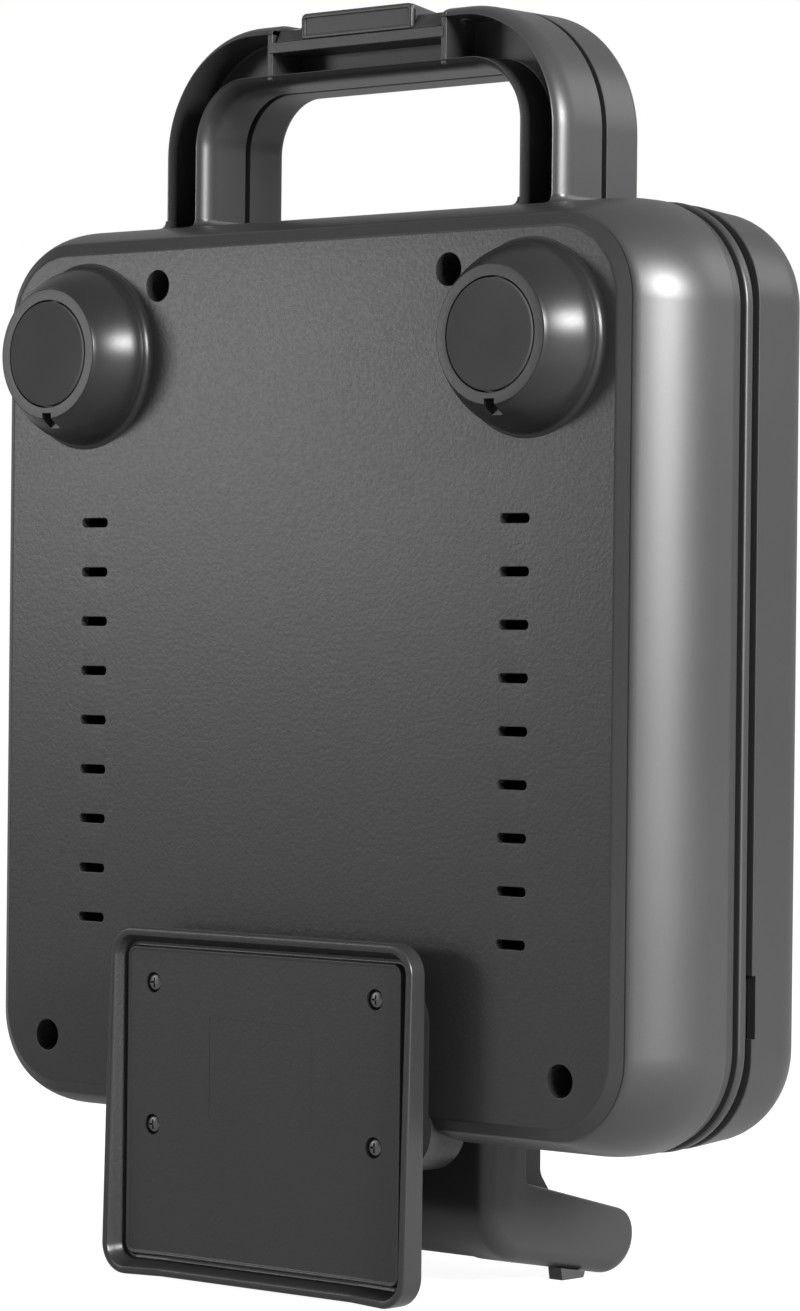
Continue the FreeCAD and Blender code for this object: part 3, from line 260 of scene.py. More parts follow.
def trace(corners, inset=0.0, arc=8, shares=None):
    """Points round a closed outline of (u, v, radius) corners, moved inwards by an inset.

    Shares hold how much of the inset each side takes, starting with the side after corner 0.
    """
    count = len(corners)
    heads = [Vector(corner[:2]) for corner in corners]
    ways = [(heads[(i + 1) % count] - heads[i]).normalized() for i in range(count)]
    area = sum(heads[i - 1].cross(heads[i]) for i in range(count))
    inward = 1 if area > 0 else -1
    points = []
    for i, corner in enumerate(corners):
        before, after = ways[i - 1], ways[i]
        first = Vector((-before.y, before.x)) * inward
        second = Vector((-after.y, after.x)) * inward
        in_one = inset * (shares[i - 1] if shares else 1)
        in_two = inset * (shares[i] if shares else 1)
        across = in_one * second.y - in_two * first.y
        up = in_two * first.x - in_one * second.x
        here = heads[i] + Vector((across, up)) / (first.x * second.y - first.y * second.x)
        if len(corner) < 3:
            points.append(here)
            continue
        side = 1 if before.cross(after) > 0 else -1
        radius = max(corner[2] - side * inward * (in_one + in_two) / 2, 0.05)
        angle = math.acos(max(-1, min(1, before.dot(after))))
        start = here - before * radius * math.tan(angle / 2)
        arm = Vector((before.y, -before.x)) * side * radius
        centre = start - arm
        for k in range(arc + 1):
            turn = side * angle * k / arc
            cos, sin = math.cos(turn), math.sin(turn)
            points.append(centre + Vector((arm.x * cos - arm.y * sin, arm.x * sin + arm.y * cos)))
    return points


def lay(points, level, plane):
    """Points of an outline in space: across and up, depth and up, or across and depth."""
    if plane == "front":
        return [at(p.x, level, p.y) for p in points]
    if plane == "side":
        return [at(level, p.x, p.y) for p in points]
    return [at(p.x, p.y, level) for p in points]


def bridge(bm, rows):
    """Quads from each closed row of vertices to the next."""
    for first, second in zip(rows, rows[1:]):
        for i in range(len(first)):
            j = (i + 1) % len(first)
            bm.faces.new((first[i], first[j], second[j], second[i]))


def loft_mesh(rings, caps=True, closed=False, bm=None):
    """Quads between rings of equal length, capped at both ends or closed on itself."""
    bm = bm or bmesh.new()
    rows = [[bm.verts.new(p) for p in points] for points in rings]
    bridge(bm, rows + rows[:1] if closed else rows)
    if caps and not closed:
        bm.faces.new(rows[0])
        bm.faces.new(rows[-1])
    return bm


def rounds(radius, steps):
    """Pairs of (inset, rise) along a rounded edge, from its end face to its side."""
    turns = [math.pi / 2 * k / steps for k in range(steps + 1)]
    return [(radius * (1 - math.sin(t)), radius * (1 - math.cos(t))) for t in turns]


def slab(corners, reach, edge, arc, middle=0.0, bm=None):
    """An outline drawn out sideways, as far to either side of a middle, with rounded edges."""
    rings = []
    for inset, rise in rounds(edge, 4):
        rings.append(lay(trace(corners, inset, arc), middle - reach + rise, "side"))
    for inset, rise in reversed(rounds(edge, 4)):
        rings.append(lay(trace(corners, inset, arc), middle + reach - rise, "side"))
    return loft_mesh(rings, bm=bm)


def turned(profile, centre, arc, axis="Y"):
    """A profile of (radius, level) turned about an axis through the centre."""
    rings = []
    for radius, level in profile:
        points = []
        for i in range(arc):
            turn = 2 * math.pi * i / arc
            across, up = radius * math.cos(turn), radius * math.sin(turn)
            if axis == "Y":
                points.append(at(centre[0] + across, centre[1] + level, centre[2] + up))
            else:
                points.append(at(centre[0] + level, centre[1] + across, centre[2] + up))
        rings.append(points)
    return loft_mesh(rings)


def bore(radius, centre, arc=24):
    """A long cutter along the pin through a centre."""
    return turned([(radius, -34.0), (radius, 34.0)], centre, arc, axis="X")


def block(low, high):
    """A box between two corners."""
    corners = rectangle((low[0], high[0]), (low[2], high[2]))
    return loft_mesh([lay(trace(corners), level, "front") for level in (low[1], high[1])])


def both_sides(low, high):
    """The same range of x on the left and on the right."""
    return [(-high, -low), (low, high)]


def carve(bm, cutters):
    """The mesh with the cutters' meshes taken out of it."""
    bmesh.ops.recalc_face_normals(bm, faces=bm.faces)
    mesh = bpy.data.meshes.new("carved")
    bm.to_mesh(mesh)
    bm.free()
    piece = bpy.data.objects.new("carved", mesh)
    bpy.context.scene.collection.objects.link(piece)
    tools = []
    for cutter in cutters:
        bmesh.ops.recalc_face_normals(cutter, faces=cutter.faces)
        tool_mesh = bpy.data.meshes.new("tool")
        cutter.to_mesh(tool_mesh)
        cutter.free()
        tool = bpy.data.objects.new("tool", tool_mesh)
        bpy.context.scene.collection.objects.link(tool)
        tools.append(tool)
        taken = piece.modifiers.new("cut", "BOOLEAN")
        taken.operation = "DIFFERENCE"
        taken.solver = "EXACT"
        taken.object = tool
    seen = piece.evaluated_get(bpy.context.evaluated_depsgraph_get())
    made = bmesh.new()
    made.from_mesh(seen.to_mesh())
    seen.to_mesh_clear()
    for item in tools + [piece]:
        data = item.data
        bpy.data.objects.remove(item)
        bpy.data.meshes.remove(data)
    bmesh.ops.remove_doubles(made, verts=made.verts, dist=SAME_PLACE)
    return made


def join(bm, other):
    """Add one mesh to another."""
    mesh = bpy.data.meshes.new("joined")
    other.to_mesh(mesh)
    other.free()
    bm.from_mesh(mesh)
    bpy.data.meshes.remove(mesh)


def make_piece(name, bm, slot, body, stands_for=(), crisp=38):
    """A visible piece on its body, smooth but for edges sharper than crisp, in degrees."""
    bmesh.ops.recalc_face_normals(bm, faces=bm.faces)
    mesh = bpy.data.meshes.new(name)
    bm.to_mesh(mesh)
    bm.free()
    mesh.polygons.foreach_set("use_smooth", [True] * len(mesh.polygons))
    mesh.set_sharp_from_angle(angle=math.radians(crisp))
    piece = bpy.data.objects.new(name, mesh)
    bpy.context.scene.collection.objects.link(piece)
    paint(piece, slot)
    flat = piece.modifiers.new("flat faces stay flat", "WEIGHTED_NORMAL")
    flat.keep_sharp = True
    flat.weight = 80
    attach(piece, body)
    if stands_for:
        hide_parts(*stands_for)


# Lower body: cover, housing and trim ring.


def swell_share(step):
    """The part of the full inset that is left at a step back along the housing's arc."""
    return (1 - math.sqrt(1 - step * step / 2)) / (1 - math.sqrt(0.5))


def body_ring(depth, share, inset=0.0):
    """The body's rounded section: share 1 is the cover's edge, 0 the full size."""
    half_w = BODY_W - share * (BODY_W - COVER_W) - inset
    half_h = BODY_H - share * (BODY_H - COVER_H) - inset
    radius = BODY_R - share * (BODY_R - COVER_R) - 0.9 * inset
    return ring(depth, half_w, half_h, radius)


def swell(step, inset=0.0):
    """The section at a step, from 0 at the crown to 1 at the edge, back along the housing's arc."""
    return body_ring(CROWN_Y - step * (CROWN_Y - EDGE_Y), swell_share(step), inset)


# Depth of the housing's back edge, beside the trim band, and steps along its arc.
HOUSING_BACK = 31.5
OUTER_STEPS, INNER_STEPS = 26, 6


def housing():
    front = EDGE_Y + 0.25
    rings = [body_ring(front, 1, WALL), body_ring(front, 1, 0.35), body_ring(EDGE_Y + 0.35, 0.985, 0.05)]
    rings += [swell(1 - i / OUTER_STEPS) for i in range(1, OUTER_STEPS + 1)]
    for back, inset in ((1.4, 0.0), (0.6, 0.05), (0.15, 0.2), (0.0, 0.45), (0.0, WALL)):
        rings.append(body_ring(HOUSING_BACK - back, 0, inset))
    rings += [swell(i / INNER_STEPS, WALL) for i in range(INNER_STEPS + 1)]
    bm = loft_mesh(rings, closed=True)
    make_piece("housing_shell", bm, "housing_paint", "base", ["lower_housing"], crisp=40)


# Two rows of vents: place, count, pitch, half length, half height and rounding.
VENT_X, VENT_TOP, VENT_COUNT, VENT_PITCH = 75.0, 39.85, 9, 13.44
VENT_HALF, VENT_RISE, VENT_ROUND = 4.8, 1.2, 1.15
WELL_R = 4.2
WELLS = [(side * x, z) for x, z in ((52.0, 103.5), (91.6, -100.85)) for side in (-1, 1)]


def cover_holes():
    """Outlines of the vents and screw wells, as points across and up."""
    holes = []
    for side in (-1, 1):
        for i in range(VENT_COUNT):
            x, z = side * VENT_X, VENT_TOP - i * VENT_PITCH
            width, height = (x - VENT_HALF, x + VENT_HALF), (z - VENT_RISE, z + VENT_RISE)
            holes.append(trace(rectangle(width, height, VENT_ROUND), arc=6))
    return holes + [circle(x, z, WELL_R, 48) for x, z in WELLS]


def grown(hole, by):
    """A hole's outline widened from its middle, for the small lead-in at its edge."""
    middle = sum(hole, Vector((0, 0))) / len(hole)
    wide = 1 + by / (max(p.x for p in hole) - middle.x)
    tall = 1 + by / (max(p.y for p in hole) - middle.y)
    return [Vector((middle.x + (p.x - middle.x) * wide, middle.y + (p.y - middle.y) * tall)) for p in hole]


def cover():
    """The cover: an inner rim, a skirt, a bevel up to the face, and the holes through the panel."""
    bm = bmesh.new()
    skirt = [(4.6, 2.75), (2.45, 2.75), (2.3, 0.5), (2.25, 0.2), (2.1, 0.05)]
    skirt += [(1.95, 0.28), (0.32, 2.75), (0.18, 2.98), (0.07, 3.25), (0.0, 3.6)]
    rows = [[bm.verts.new(p) for p in body_ring(depth, 1, inset)] for depth, inset in skirt]
    inside = [(2.6, 5.6), (4.6, 5.6)]
    back_rows = [[bm.verts.new(p) for p in body_ring(depth, 1, inset)] for depth, inset in inside]
    bridge(bm, back_rows + rows)
    front_loops, back_loops = [rows[-1]], [back_rows[0]]
    for hole in cover_holes():
        walls = []
        for depth, by in ((0.0, 0.22), (0.06, 0.07), (0.25, 0.0), (2.6, 0.0)):
            points = grown(hole, by) if by else hole
            walls.append([bm.verts.new(at(p.x, depth, p.y)) for p in points])
        bridge(bm, walls)
        front_loops.append(walls[0])
        back_loops.append(walls[-1])
    for loops in (front_loops, back_loops):
        edges = []
        for loop in loops:
            for i in range(len(loop)):
                edges.append(bm.edges.get((loop[i], loop[(i + 1) % len(loop)])))
        bmesh.ops.triangle_fill(bm, edges=edges, use_beauty=True)
    make_piece("cover_panel", bm, "cover_plastic", "base", ["base_cover"], crisp=30)


def trim_band():
    """The band at the parting line: a sunk lip beside the housing, a groove and a rounded bead."""
    lip, groove, bead, back = HOUSING_BACK + 0.1, 35.1, 36.3, 39.3
    section = [(lip - 0.6, 2.65), (lip, 2.65), (lip, 0.95), (lip + 0.15, 0.75)]
    section += [(groove - 0.3, 0.95), (groove, 1.2), (groove, 2.4)]
    section += [(bead, 2.4), (bead, 0.6), (bead + 0.2, 0.25), (bead + 0.7, 0.03)]
    section += [(back - 1.1, 0.0), (back - 0.4, 0.15), (back - 0.1, 0.4), (back, 0.8)]
    section += [(back, 5.1), (back - 3.3, 5.1), (back - 3.3, 9.6), (lip - 0.6, 9.6)]
    bm = loft_mesh([body_ring(depth, 0, inset) for depth, inset in section], closed=True)
    make_piece("trim_band", bm, "ring_paint", "base", ["lower_trim_ring"], crisp=40)


# Lid.

LID_FRONT, LID_BACK, LID_ROUND = 42.2, 70.0, 14.7
# The lid stands back from the body's outline, leans in by its draft, and is crowned from an inset on.
LID_BACKSET, LID_DRAFT = 0.5, 1.0
CROWN_START, CROWN_WIDTH, CROWN_RISE = 16.5, 17.5, 1.3
# The slit in each side of the lid, and the lamps' holes.
SLIT_LOW, SLIT_HIGH, SLIT_DEPTH = -91.0, -75.0, 1.4
LAMP_X, LAMP_Z, LAMP_R = 14.0, 100.0, 3.5


def lid_ring(depth, inset, bend=1.0):
    half_w, half_h = BODY_W - LID_BACKSET - inset, BODY_H - LID_BACKSET - inset
    return ring(depth, half_w, half_h, BODY_R - 2 - bend * inset)


def lid_turn(radius, start, steps):
    """Sections round the lid's back edge, from its side towards its face."""
    rings = []
    for i in range(1, steps + 1):
        turn = math.pi / 2 * i / steps
        inset = start + radius * (1 - math.cos(turn))
        rings.append(lid_ring(LID_BACK - LID_ROUND + radius * math.sin(turn), inset))
    return rings


def lid():
    turn_y = LID_BACK - LID_ROUND
    rings = [lid_ring(LID_FRONT, WALL), lid_ring(LID_FRONT, 0.5)]
    rings += [lid_ring(LID_FRONT + 0.15, 0.16), lid_ring(LID_FRONT + 0.5, 0.02)]
    rings += [lid_ring(turn_y, LID_DRAFT)] + lid_turn(LID_ROUND, LID_DRAFT, 14)
    for i in range(1, 9):
        share = i / 8
        depth = LID_BACK + CROWN_RISE * math.sin(math.pi / 2 * share)
        rings.append(lid_ring(depth, CROWN_START + share * CROWN_WIDTH, 1 - 0.3 * share))
    bm = loft_mesh(rings, caps=False)
    bm.verts.ensure_lookup_table()
    bm.faces.new(bm.verts[-len(rings[0]):])
    inner = [lid_ring(LID_FRONT, WALL), lid_ring(turn_y, LID_DRAFT + WALL)]
    inner += lid_turn(LID_ROUND - WALL, LID_DRAFT + WALL, 6)
    rows = [[bm.verts.new(p) for p in points] for points in inner]
    bridge(bm, rows)
    bm.faces.new(rows[-1])
    bmesh.ops.remove_doubles(bm, verts=bm.verts, dist=SAME_PLACE)
    cutters = []
    for side, (low, high) in zip((-1, 1), both_sides(BODY_W - 6, BODY_W + 1)):
        cutters.append(block((low, LID_FRONT - 1, SLIT_LOW), (high, LID_FRONT + SLIT_DEPTH, SLIT_HIGH)))
        cutters.append(turned([(LAMP_R, 62.0), (LAMP_R, 75.0)], (side * LAMP_X, 0, LAMP_Z), 40))
    make_piece("lid_shell", carve(bm, cutters), "lid_paint", "lid", ["lid_cover"], crisp=35)


# Handle halves.

HANDLE = {"half": 71.4, "top": 174.5, "bend": 34.0, "grip": 55.5, "under": 157.8, "grip_bend": 15.0}
LEG_ROOT = 119.0
# Depths of the two halves' faces. The lower half is hollow and open in front.
LOWER_FRONT, LOWER_BACK, HOLLOW_DEPTH = 20.6, 37.7, 12
UPPER_FRONT, UPPER_BACK = 39.5, 54.3
HANDLE_ROUND = 3.5
# How much deeper than wide the rounding along the lower half's edges is, and the inset it stops at.
GRIP_STRETCH, GRIP_ROUND_END = 1.75, 2.45
# The latch's bay, its floor, the ribs at its ends and the pin that the latch rocks on.
BAY_HALF, BAY_FLOOR = 30.2, 168.2
RIB_X, RIB_HALF = 31.1, 0.9
PIN_Y, PIN_Z, PIN_BORE, PIN_CLEAR = 27.5, 171.2, 1.35, 1.65
# The hollow curve at the legs' feet.
COVE_R, COVE_TOP = 2.2, 123.3


def handle_ring(depth, inset):
    """The bail's outline at one depth, with its legs' ends held inside the body."""
    half, top, grip, under = HANDLE["half"], HANDLE["top"], HANDLE["grip"], HANDLE["under"]
    corners = [
        (-half, LEG_ROOT),
        (-grip, LEG_ROOT),
        (-grip, under, HANDLE["grip_bend"]),
        (grip, under, HANDLE["grip_bend"]),
        (grip, LEG_ROOT),
        (half, LEG_ROOT),
        (half, top, HANDLE["bend"]),
        (-half, top, HANDLE["bend"]),
    ]
    shares = [0, 1, 1, 1, 0, 1, 1, 1]
    return lay(trace(corners, inset, 26, shares), depth, "front")


def lower_grip():
    """The base's half: rounded edges, an open hollow, and the latch's bay with ribs and a shelf."""
    back = [(0.0, 0.35), (0.1, 0.1), (0.35, 0.0)]
    rings = [handle_ring(LOWER_BACK - rise, inset) for rise, inset in back]
    for inset, rise in reversed(rounds(HANDLE_ROUND, 10)):
        if inset < GRIP_ROUND_END:
            rings.append(handle_ring(LOWER_FRONT + GRIP_STRETCH * rise, inset))
    rim = [(0.0, 2.6), (0.06, 2.78), (0.2, 2.85)]
    rim += [(HOLLOW_DEPTH - 0.6, 3.0), (HOLLOW_DEPTH - 0.15, 3.2), (HOLLOW_DEPTH, 3.7)]
    rings += [handle_ring(LOWER_FRONT + rise, inset) for rise, inset in rim]
    pin = (0, PIN_Y, PIN_Z)
    bay = block((-BAY_HALF, 19.0, BAY_FLOOR), (BAY_HALF, 60.0, 178.0))
    bm = carve(loft_mesh(rings), [bay, bore(PIN_BORE, pin)])
    wall = [(20.9, 159.3, 0.3), (33.0, 159.3), (33.0, 173.0), (20.9, 173.0, 0.6)]
    for side in (-1, 1):
        rib = slab(wall, RIB_HALF, 0.2, 4, middle=side * RIB_X)
        join(bm, carve(rib, [bore(PIN_BORE, pin)]))
    shelf = [(20.65, 166.5, 0.25), (33.0, 166.5), (33.0, BAY_FLOOR), (21.0, BAY_FLOOR)]
    shelf += [(20.95, 169.3), (20.65, 169.3)]
    slab(shelf, 31.0, 0.02, 4, bm=bm)
    make_piece("lower_grip", bm, "black_plastic", "base", ["lower_handle"])


def upper_grip():
    """The lid's half, with the notch that the latch reaches into."""
    front = [(0.0, 0.35), (0.1, 0.1), (0.35, 0.0)]
    rings = [handle_ring(UPPER_FRONT + rise, inset) for rise, inset in front]
    for inset, rise in reversed(rounds(HANDLE_ROUND, 8)):
        rings.append(handle_ring(UPPER_BACK - rise, inset))
    notch = block((-20.8, 38.0, BAY_FLOOR), (20.8, 48.0, 178.0))
    bm = carve(loft_mesh(rings), [notch])
    make_piece("upper_grip", bm, "black_plastic", "lid", ["upper_handle"])


def leg_coves():
    """The hollow curve with which the handle's legs run out into the body's end."""
    bm = bmesh.new()
    steps = 8
    for low, high in both_sides(HANDLE["grip"], HANDLE["half"]):
        rings = []
        for k in range(steps + 1):
            turn = math.pi / 2 * k / steps
            spread = COVE_R * (1 - math.cos(turn)) - 0.02
            corners = [
                (low - spread, LOWER_FRONT - spread, 3.3 + spread),
                (high + spread, LOWER_FRONT - spread, 3.3 + spread),
                (high + spread, LOWER_BACK - 0.1, 0.3),
                (low - spread, LOWER_BACK - 0.1, 0.3),
            ]
            rings.append(lay(trace(corners), COVE_TOP - COVE_R * math.sin(turn), "floor"))
        rings.append([p - Vector((0, 0, 0.0015)) for p in rings[-1]])
        loft_mesh(rings, bm=bm)
    mouth = []
    for low, high in both_sides(HANDLE["grip"] + 2.9, HANDLE["half"] - 2.9):
        mouth.append(block((low, 10.0, 118.0), (high, LOWER_FRONT + HOLLOW_DEPTH, 126.0)))
    make_piece("leg_coves", carve(bm, mouth), "housing_paint", "base")


# Latch: half widths of its face and wings, and the height of its face.

LATCH_HALF, WING_HALF = 19.8, 29.6
LATCH_LOW, LATCH_HIGH = 169.5, 176.4


def latch():
    """A rocker on its pin between two wings, with a raised edge round its front."""

    def move(corners):
        return [(c[0] + PIN_Y, c[1] + PIN_Z, *c[2:]) for c in corners]

    pin = (0, PIN_Y, PIN_Z)
    wings = move([(-6.0, -1.7, 0.3), (-1.5, -2.4), (9.7, -2.4, 0.3), (9.7, 2.4, 0.3), (-4.1, 2.2, 1.0)])
    spring_bay = block((-28.4, 23.0, 166.0), (-21.8, 31.8, 173.9))
    bm = carve(slab(wings, WING_HALF, 0.5, 5), [spring_bay, bore(PIN_CLEAR, pin)])
    tongue = [(-6.0, -1.7, 0.3), (-1.5, -2.4), (19, -1.2, 0.3)]
    tongue += [(19, 2.3, 1.0), (5.5, 3.3, 4), (-6.0, 5.1, 0.6)]
    join(bm, carve(slab(move(tongue), LATCH_HALF, 0.6, 6), [bore(PIN_CLEAR, pin)]))
    edge = [(-LATCH_HALF, LATCH_LOW, 0.8), (LATCH_HALF, LATCH_LOW, 0.8)]
    edge += [(LATCH_HALF, LATCH_HIGH, 1.6), (-LATCH_HALF, LATCH_HIGH, 1.6)]
    section = [(22.6, 0.0), (21.4, 0.0), (21.15, 0.1), (21.0, 0.35)]
    section += [(21.0, 1.0), (21.1, 1.2), (21.5, 1.3), (21.6, 1.5)]
    join(bm, loft_mesh([lay(trace(edge, inset, 6), depth, "front") for depth, inset in section]))
    make_piece("latch_rocker", bm, "black_plastic", "latch", ["latch_lever"])


# Feet: place, the flange on the cover, and the side from its base to the crown.

FOOT_X, FOOT_Z, FOOT_STEPS = 78.9, 85.25, 96
FLANGE_R = 25.4
SIDE_R, SIDE_Y, SIDE_WIDTH, SIDE_DEPTH = 23.7, -2.75, 5.95, 11.9
# How steep the side is in degrees: past its root, how much more at the base and less at the crown.
STEEP, STEEPER, LEAN = 62, 28, 18
ROOT_SHARE = 0.27


def dome_side():
    """A foot's side from its base up: steep, then leaning in."""
    points = []
    inward = rise = 0.0
    count = 16
    for k in range(count):
        share = (k + 0.5) / count
        root = max(0.0, 1 - share / ROOT_SHARE) ** 1.3
        steep = STEEP + STEEPER * root - LEAN * max(0.0, share - ROOT_SHARE) / (1 - ROOT_SHARE)
        inward += math.cos(math.radians(steep))
        rise += math.sin(math.radians(steep))
        points.append((inward, rise))
    return [(SIDE_R - SIDE_WIDTH * x / inward, SIDE_Y - SIDE_DEPTH * y / rise) for x, y in points]


def feet():
    root = [(0.01, 0.4), (FLANGE_R, 0.4), (FLANGE_R, -0.05)]
    for k in range(1, 7):
        turn = math.pi / 2 * k / 6
        root.append((FLANGE_R - 1.5 * math.sin(turn), -0.05 - 2.0 * (1 - math.cos(turn))))
    root += [(23.85, -2.45), (SIDE_R, SIDE_Y)]
    crown = [(17.72, -14.86), (17.6, -14.97), (17.4, -15.04), (14.75, -15.04), (14.6, -15.0)]
    crown += [(14.5, -14.85), (14.45, -13.34), (0.01, -13.34)]
    disc = [(0.01, -13.36), (14.15, -13.36), (14.15, -15.2), (14.0, -15.38), (13.6, -15.46)]
    disc += [(9.0, -15.5), (0.01, -15.5)]
    for side, name in ((-1, "left"), (1, "right")):
        x = side * FOOT_X
        foot = turned(root + dome_side() + crown, (x, 0, FOOT_Z), FOOT_STEPS)
        notch = block((x - 1.7, -16.0, FOOT_Z - 20.2), (x + 1.7, -11.6, FOOT_Z - 16.0))
        foot = carve(foot, [notch])
        make_piece(f"foot_{name}", foot, "foot_plastic", "base", [f"front_foot_{name}"], crisp=40)
        pad = turned(disc, (x, 0, FOOT_Z), FOOT_STEPS)
        make_piece(f"pad_{name}", pad, "pad_rubber", "base", [f"foot_pad_{name}"], crisp=40)


# Cord plate, its neck and its screws.

PLATE = {"half": 54.1, "top": -68.4, "low": -161.0, "corner": 8.0}
PLATE_BACK, PLATE_FACE, PLATE_RIM = -8.4, -10.5, -13.7
PLATE_SCREWS = [(side * 39.6, z) for side in (-1, 1) for z in (-83.0, -120.8)]
# The low edge is arched between two heels, which come forward by their reach over these ranges.
ARCH_HALF, ARCH_RISE, HEEL_REACH = 34.0, 0.35, 1.8
HEEL_DOWN, HEEL_OUT = (143.5, 153.0), (37.0, 46.0)
# The sunk panel that is left bare.
PANEL_ACROSS, PANEL_UP = (-19.0, 18.0), (-118.0, -91.0)


def ease(value, low, high):
    """A smooth step from 0 to 1 between two values."""
    share = max(0.0, min(1.0, (value - low) / (high - low)))
    return share * share * (3 - 2 * share)


def plate_ring(depth, inset, reach=0.0):
    """The plate's outline at one depth; the low corners come forward by a share of the heels' reach."""
    half, top, low = PLATE["half"], PLATE["top"], PLATE["low"]
    corners = [
        (-half, low, PLATE["corner"]),
        (-ARCH_HALF, low + ARCH_RISE, 6.0),
        (ARCH_HALF, low + ARCH_RISE, 6.0),
        (half, low, PLATE["corner"]),
        (half, top, PLATE["corner"]),
        (-half, top, PLATE["corner"]),
    ]
    points = []
    for p in trace(corners, inset, 14):
        forward = HEEL_REACH * reach * ease(-p.y, *HEEL_DOWN) * ease(abs(p.x), *HEEL_OUT)
        points.append(at(p.x, depth - forward, p.y))
    return points


def cord_plate():
    """A tray with a raised rim, a ridge round its face, sunk screws and a sunk bare panel."""
    back, face, rim = PLATE_BACK, PLATE_FACE, PLATE_RIM
    edge = [(back, 0.4, 0), (back - 0.12, 0.12, 0), (back - 0.4, 0, 0), (rim + 0.7, 0, 0.9)]
    edge += [(rim + 0.25, 0.15, 1), (rim + 0.05, 0.45, 1), (rim, 0.8, 1), (rim, 1.6, 1)]
    wall = [(rim + 0.1, 2.0, 0.97), (rim + 0.45, 2.3, 0.85), (rim + 1.2, 2.65, 0.6)]
    wall += [(rim + 2.2, 3.2, 0.3), (face + 0.35, 4.0, 0.08), (face + 0.5, 4.6, 0), (face + 0.4, 4.95, 0)]
    ridge = [(face - 0.9, 5.25, 0), (face - 1.1, 5.4, 0), (face - 1.15, 5.65, 0)]
    ridge += [(face - 1.0, 5.95, 0), (face - 0.75, 6.3, 0)]
    bm = loft_mesh([plate_ring(*place) for place in edge + wall + ridge])
    cutters = []
    for x, z in PLATE_SCREWS:
        cutters.append(turned([(2.75, -20.0), (2.75, -10.2), (2.6, -9.7)], (x, 0, z), 40))
    panel = rectangle(PANEL_ACROSS, PANEL_UP, 0.6)
    sunk = [lay(trace(panel, 0, 4), -12.0, "front"), lay(trace(panel, 0.15, 4), -11.13, "front")]
    cutters.append(loft_mesh(sunk))
    make_piece("cord_plate", carve(bm, cutters), "cover_plastic", "base", ["cord_wrap_plate"])


def plate_screws():
    """Dark pan heads with a cross recess."""
    bm = bmesh.new()
    long, thin = 1.35, 0.26
    head = [(0.01, -9.9), (2.3, -9.9), (2.3, -10.35), (2.15, -10.65), (1.8, -10.85), (1.0, -11.0)]
    head.append((0.01, -11.02))
    for x, z in PLATE_SCREWS:
        cross = []
        for across, up in ((long, thin), (thin, long)):
            cross.append(block((x - across, -12.0, z - up), (x + across, -10.3, z + up)))
        join(bm, carve(turned(head, (x, 0, z), 40), cross))
    make_piece("plate_screws", bm, "screw_steel", "base", ["cord_plate_screws"])


# The stem under the plate, how it flares out into the cover, and the cord's hole in its low side.
NECK_HALF, NECK_LOW, NECK_TOP, NECK_R = 43.0, -126.5, -80.0, 9.0
NECK_FRONT, NECK_LENGTH, NECK_ROOT = -8.3, 10.6, 11.5
FLARE_WIDTH, FLARE_START, FLARE_LENGTH = 7.0, 0.25, 0.53
CORD_HOLE_Y, CORD_HOLE_R = 3, 5


def neck():
    """The stem between plate and body, hollow-curved out into the cover and round its low edge."""
    rings = []
    steps = 16
    for k in range(steps + 1):
        share = k / steps
        flare = min(1.0, max(0.0, share - FLARE_START) / FLARE_LENGTH)
        spread = FLARE_WIDTH * (1 - math.sqrt(1 - 0.98 * flare * flare))
        half, low, top = NECK_HALF + spread, NECK_LOW - 0.3 * spread, NECK_TOP + 0.4 * spread
        corners = rectangle((-half, half), (low, top), NECK_R + 0.5 * spread)
        rings.append(lay(trace(corners, 0, 12), NECK_FRONT + share * NECK_LENGTH, "front"))
    rings.append([p + Vector((0, NECK_ROOT / 1000, 0)) for p in rings[-1]])
    hole = circle(0, CORD_HOLE_Y, CORD_HOLE_R, 40)
    cutter = loft_mesh([lay(hole, level, "floor") for level in (-140.0, -120.0)])
    make_piece("neck_stem", carve(loft_mesh(rings), [cutter]), "cover_plastic", "base", ["cord_wrap_neck"])


# Hinge: the front of the arms and the web, their top inside the body, and the rounded heel.

HINGE_FRONT, HINGE_TOP = 26.6, -119.0
HEEL = (HINGE_FRONT, -152.2, 18.0)
ARM_IN, ARM_OUT, ARM_ROUND = 31.2, 45.0, 4.6
# The track that each roller runs in, and the middle of the hinge pin.
TRACK = rectangle((59.3, 83.7), (-154.7, -145.3), 4.4)
TRACK_IN, TRACK_OUT = 30.0, 39.4
HINGE_PIN = (0, 64.0, -150.0)


def arms():
    outline = [
        (HINGE_FRONT, HINGE_TOP),
        HEEL,
        (89.8, -162.7, 9.7),
        (89.8, -144.9, 7.9),
        (43.7, -133.4, 2.0),
        (43.7, -122.35),
        (39.3, -122.35),
        (39.3, HINGE_TOP),
    ]
    shares = [1, 1, 0.6, 0.22, 0.22, 0.0, 0.0, 0.0]
    for side, name in ((-1, "left"), (1, "right")):
        rings = [lay(trace(outline, 0.0, 14), side * ARM_IN, "side")]
        for inset, rise in reversed(rounds(ARM_ROUND, 9)):
            rings.append(lay(trace(outline, inset, 14, shares), side * (ARM_OUT - rise), "side"))
        ends = sorted((side * TRACK_IN, side * TRACK_OUT))
        cutter = loft_mesh([lay(trace(TRACK, 0, 12), level, "side") for level in ends])
        bm = carve(loft_mesh(rings), [cutter])
        make_piece(f"arm_{name}", bm, "black_plastic", "base", [f"hinge_arm_{name}"], crisp=40)


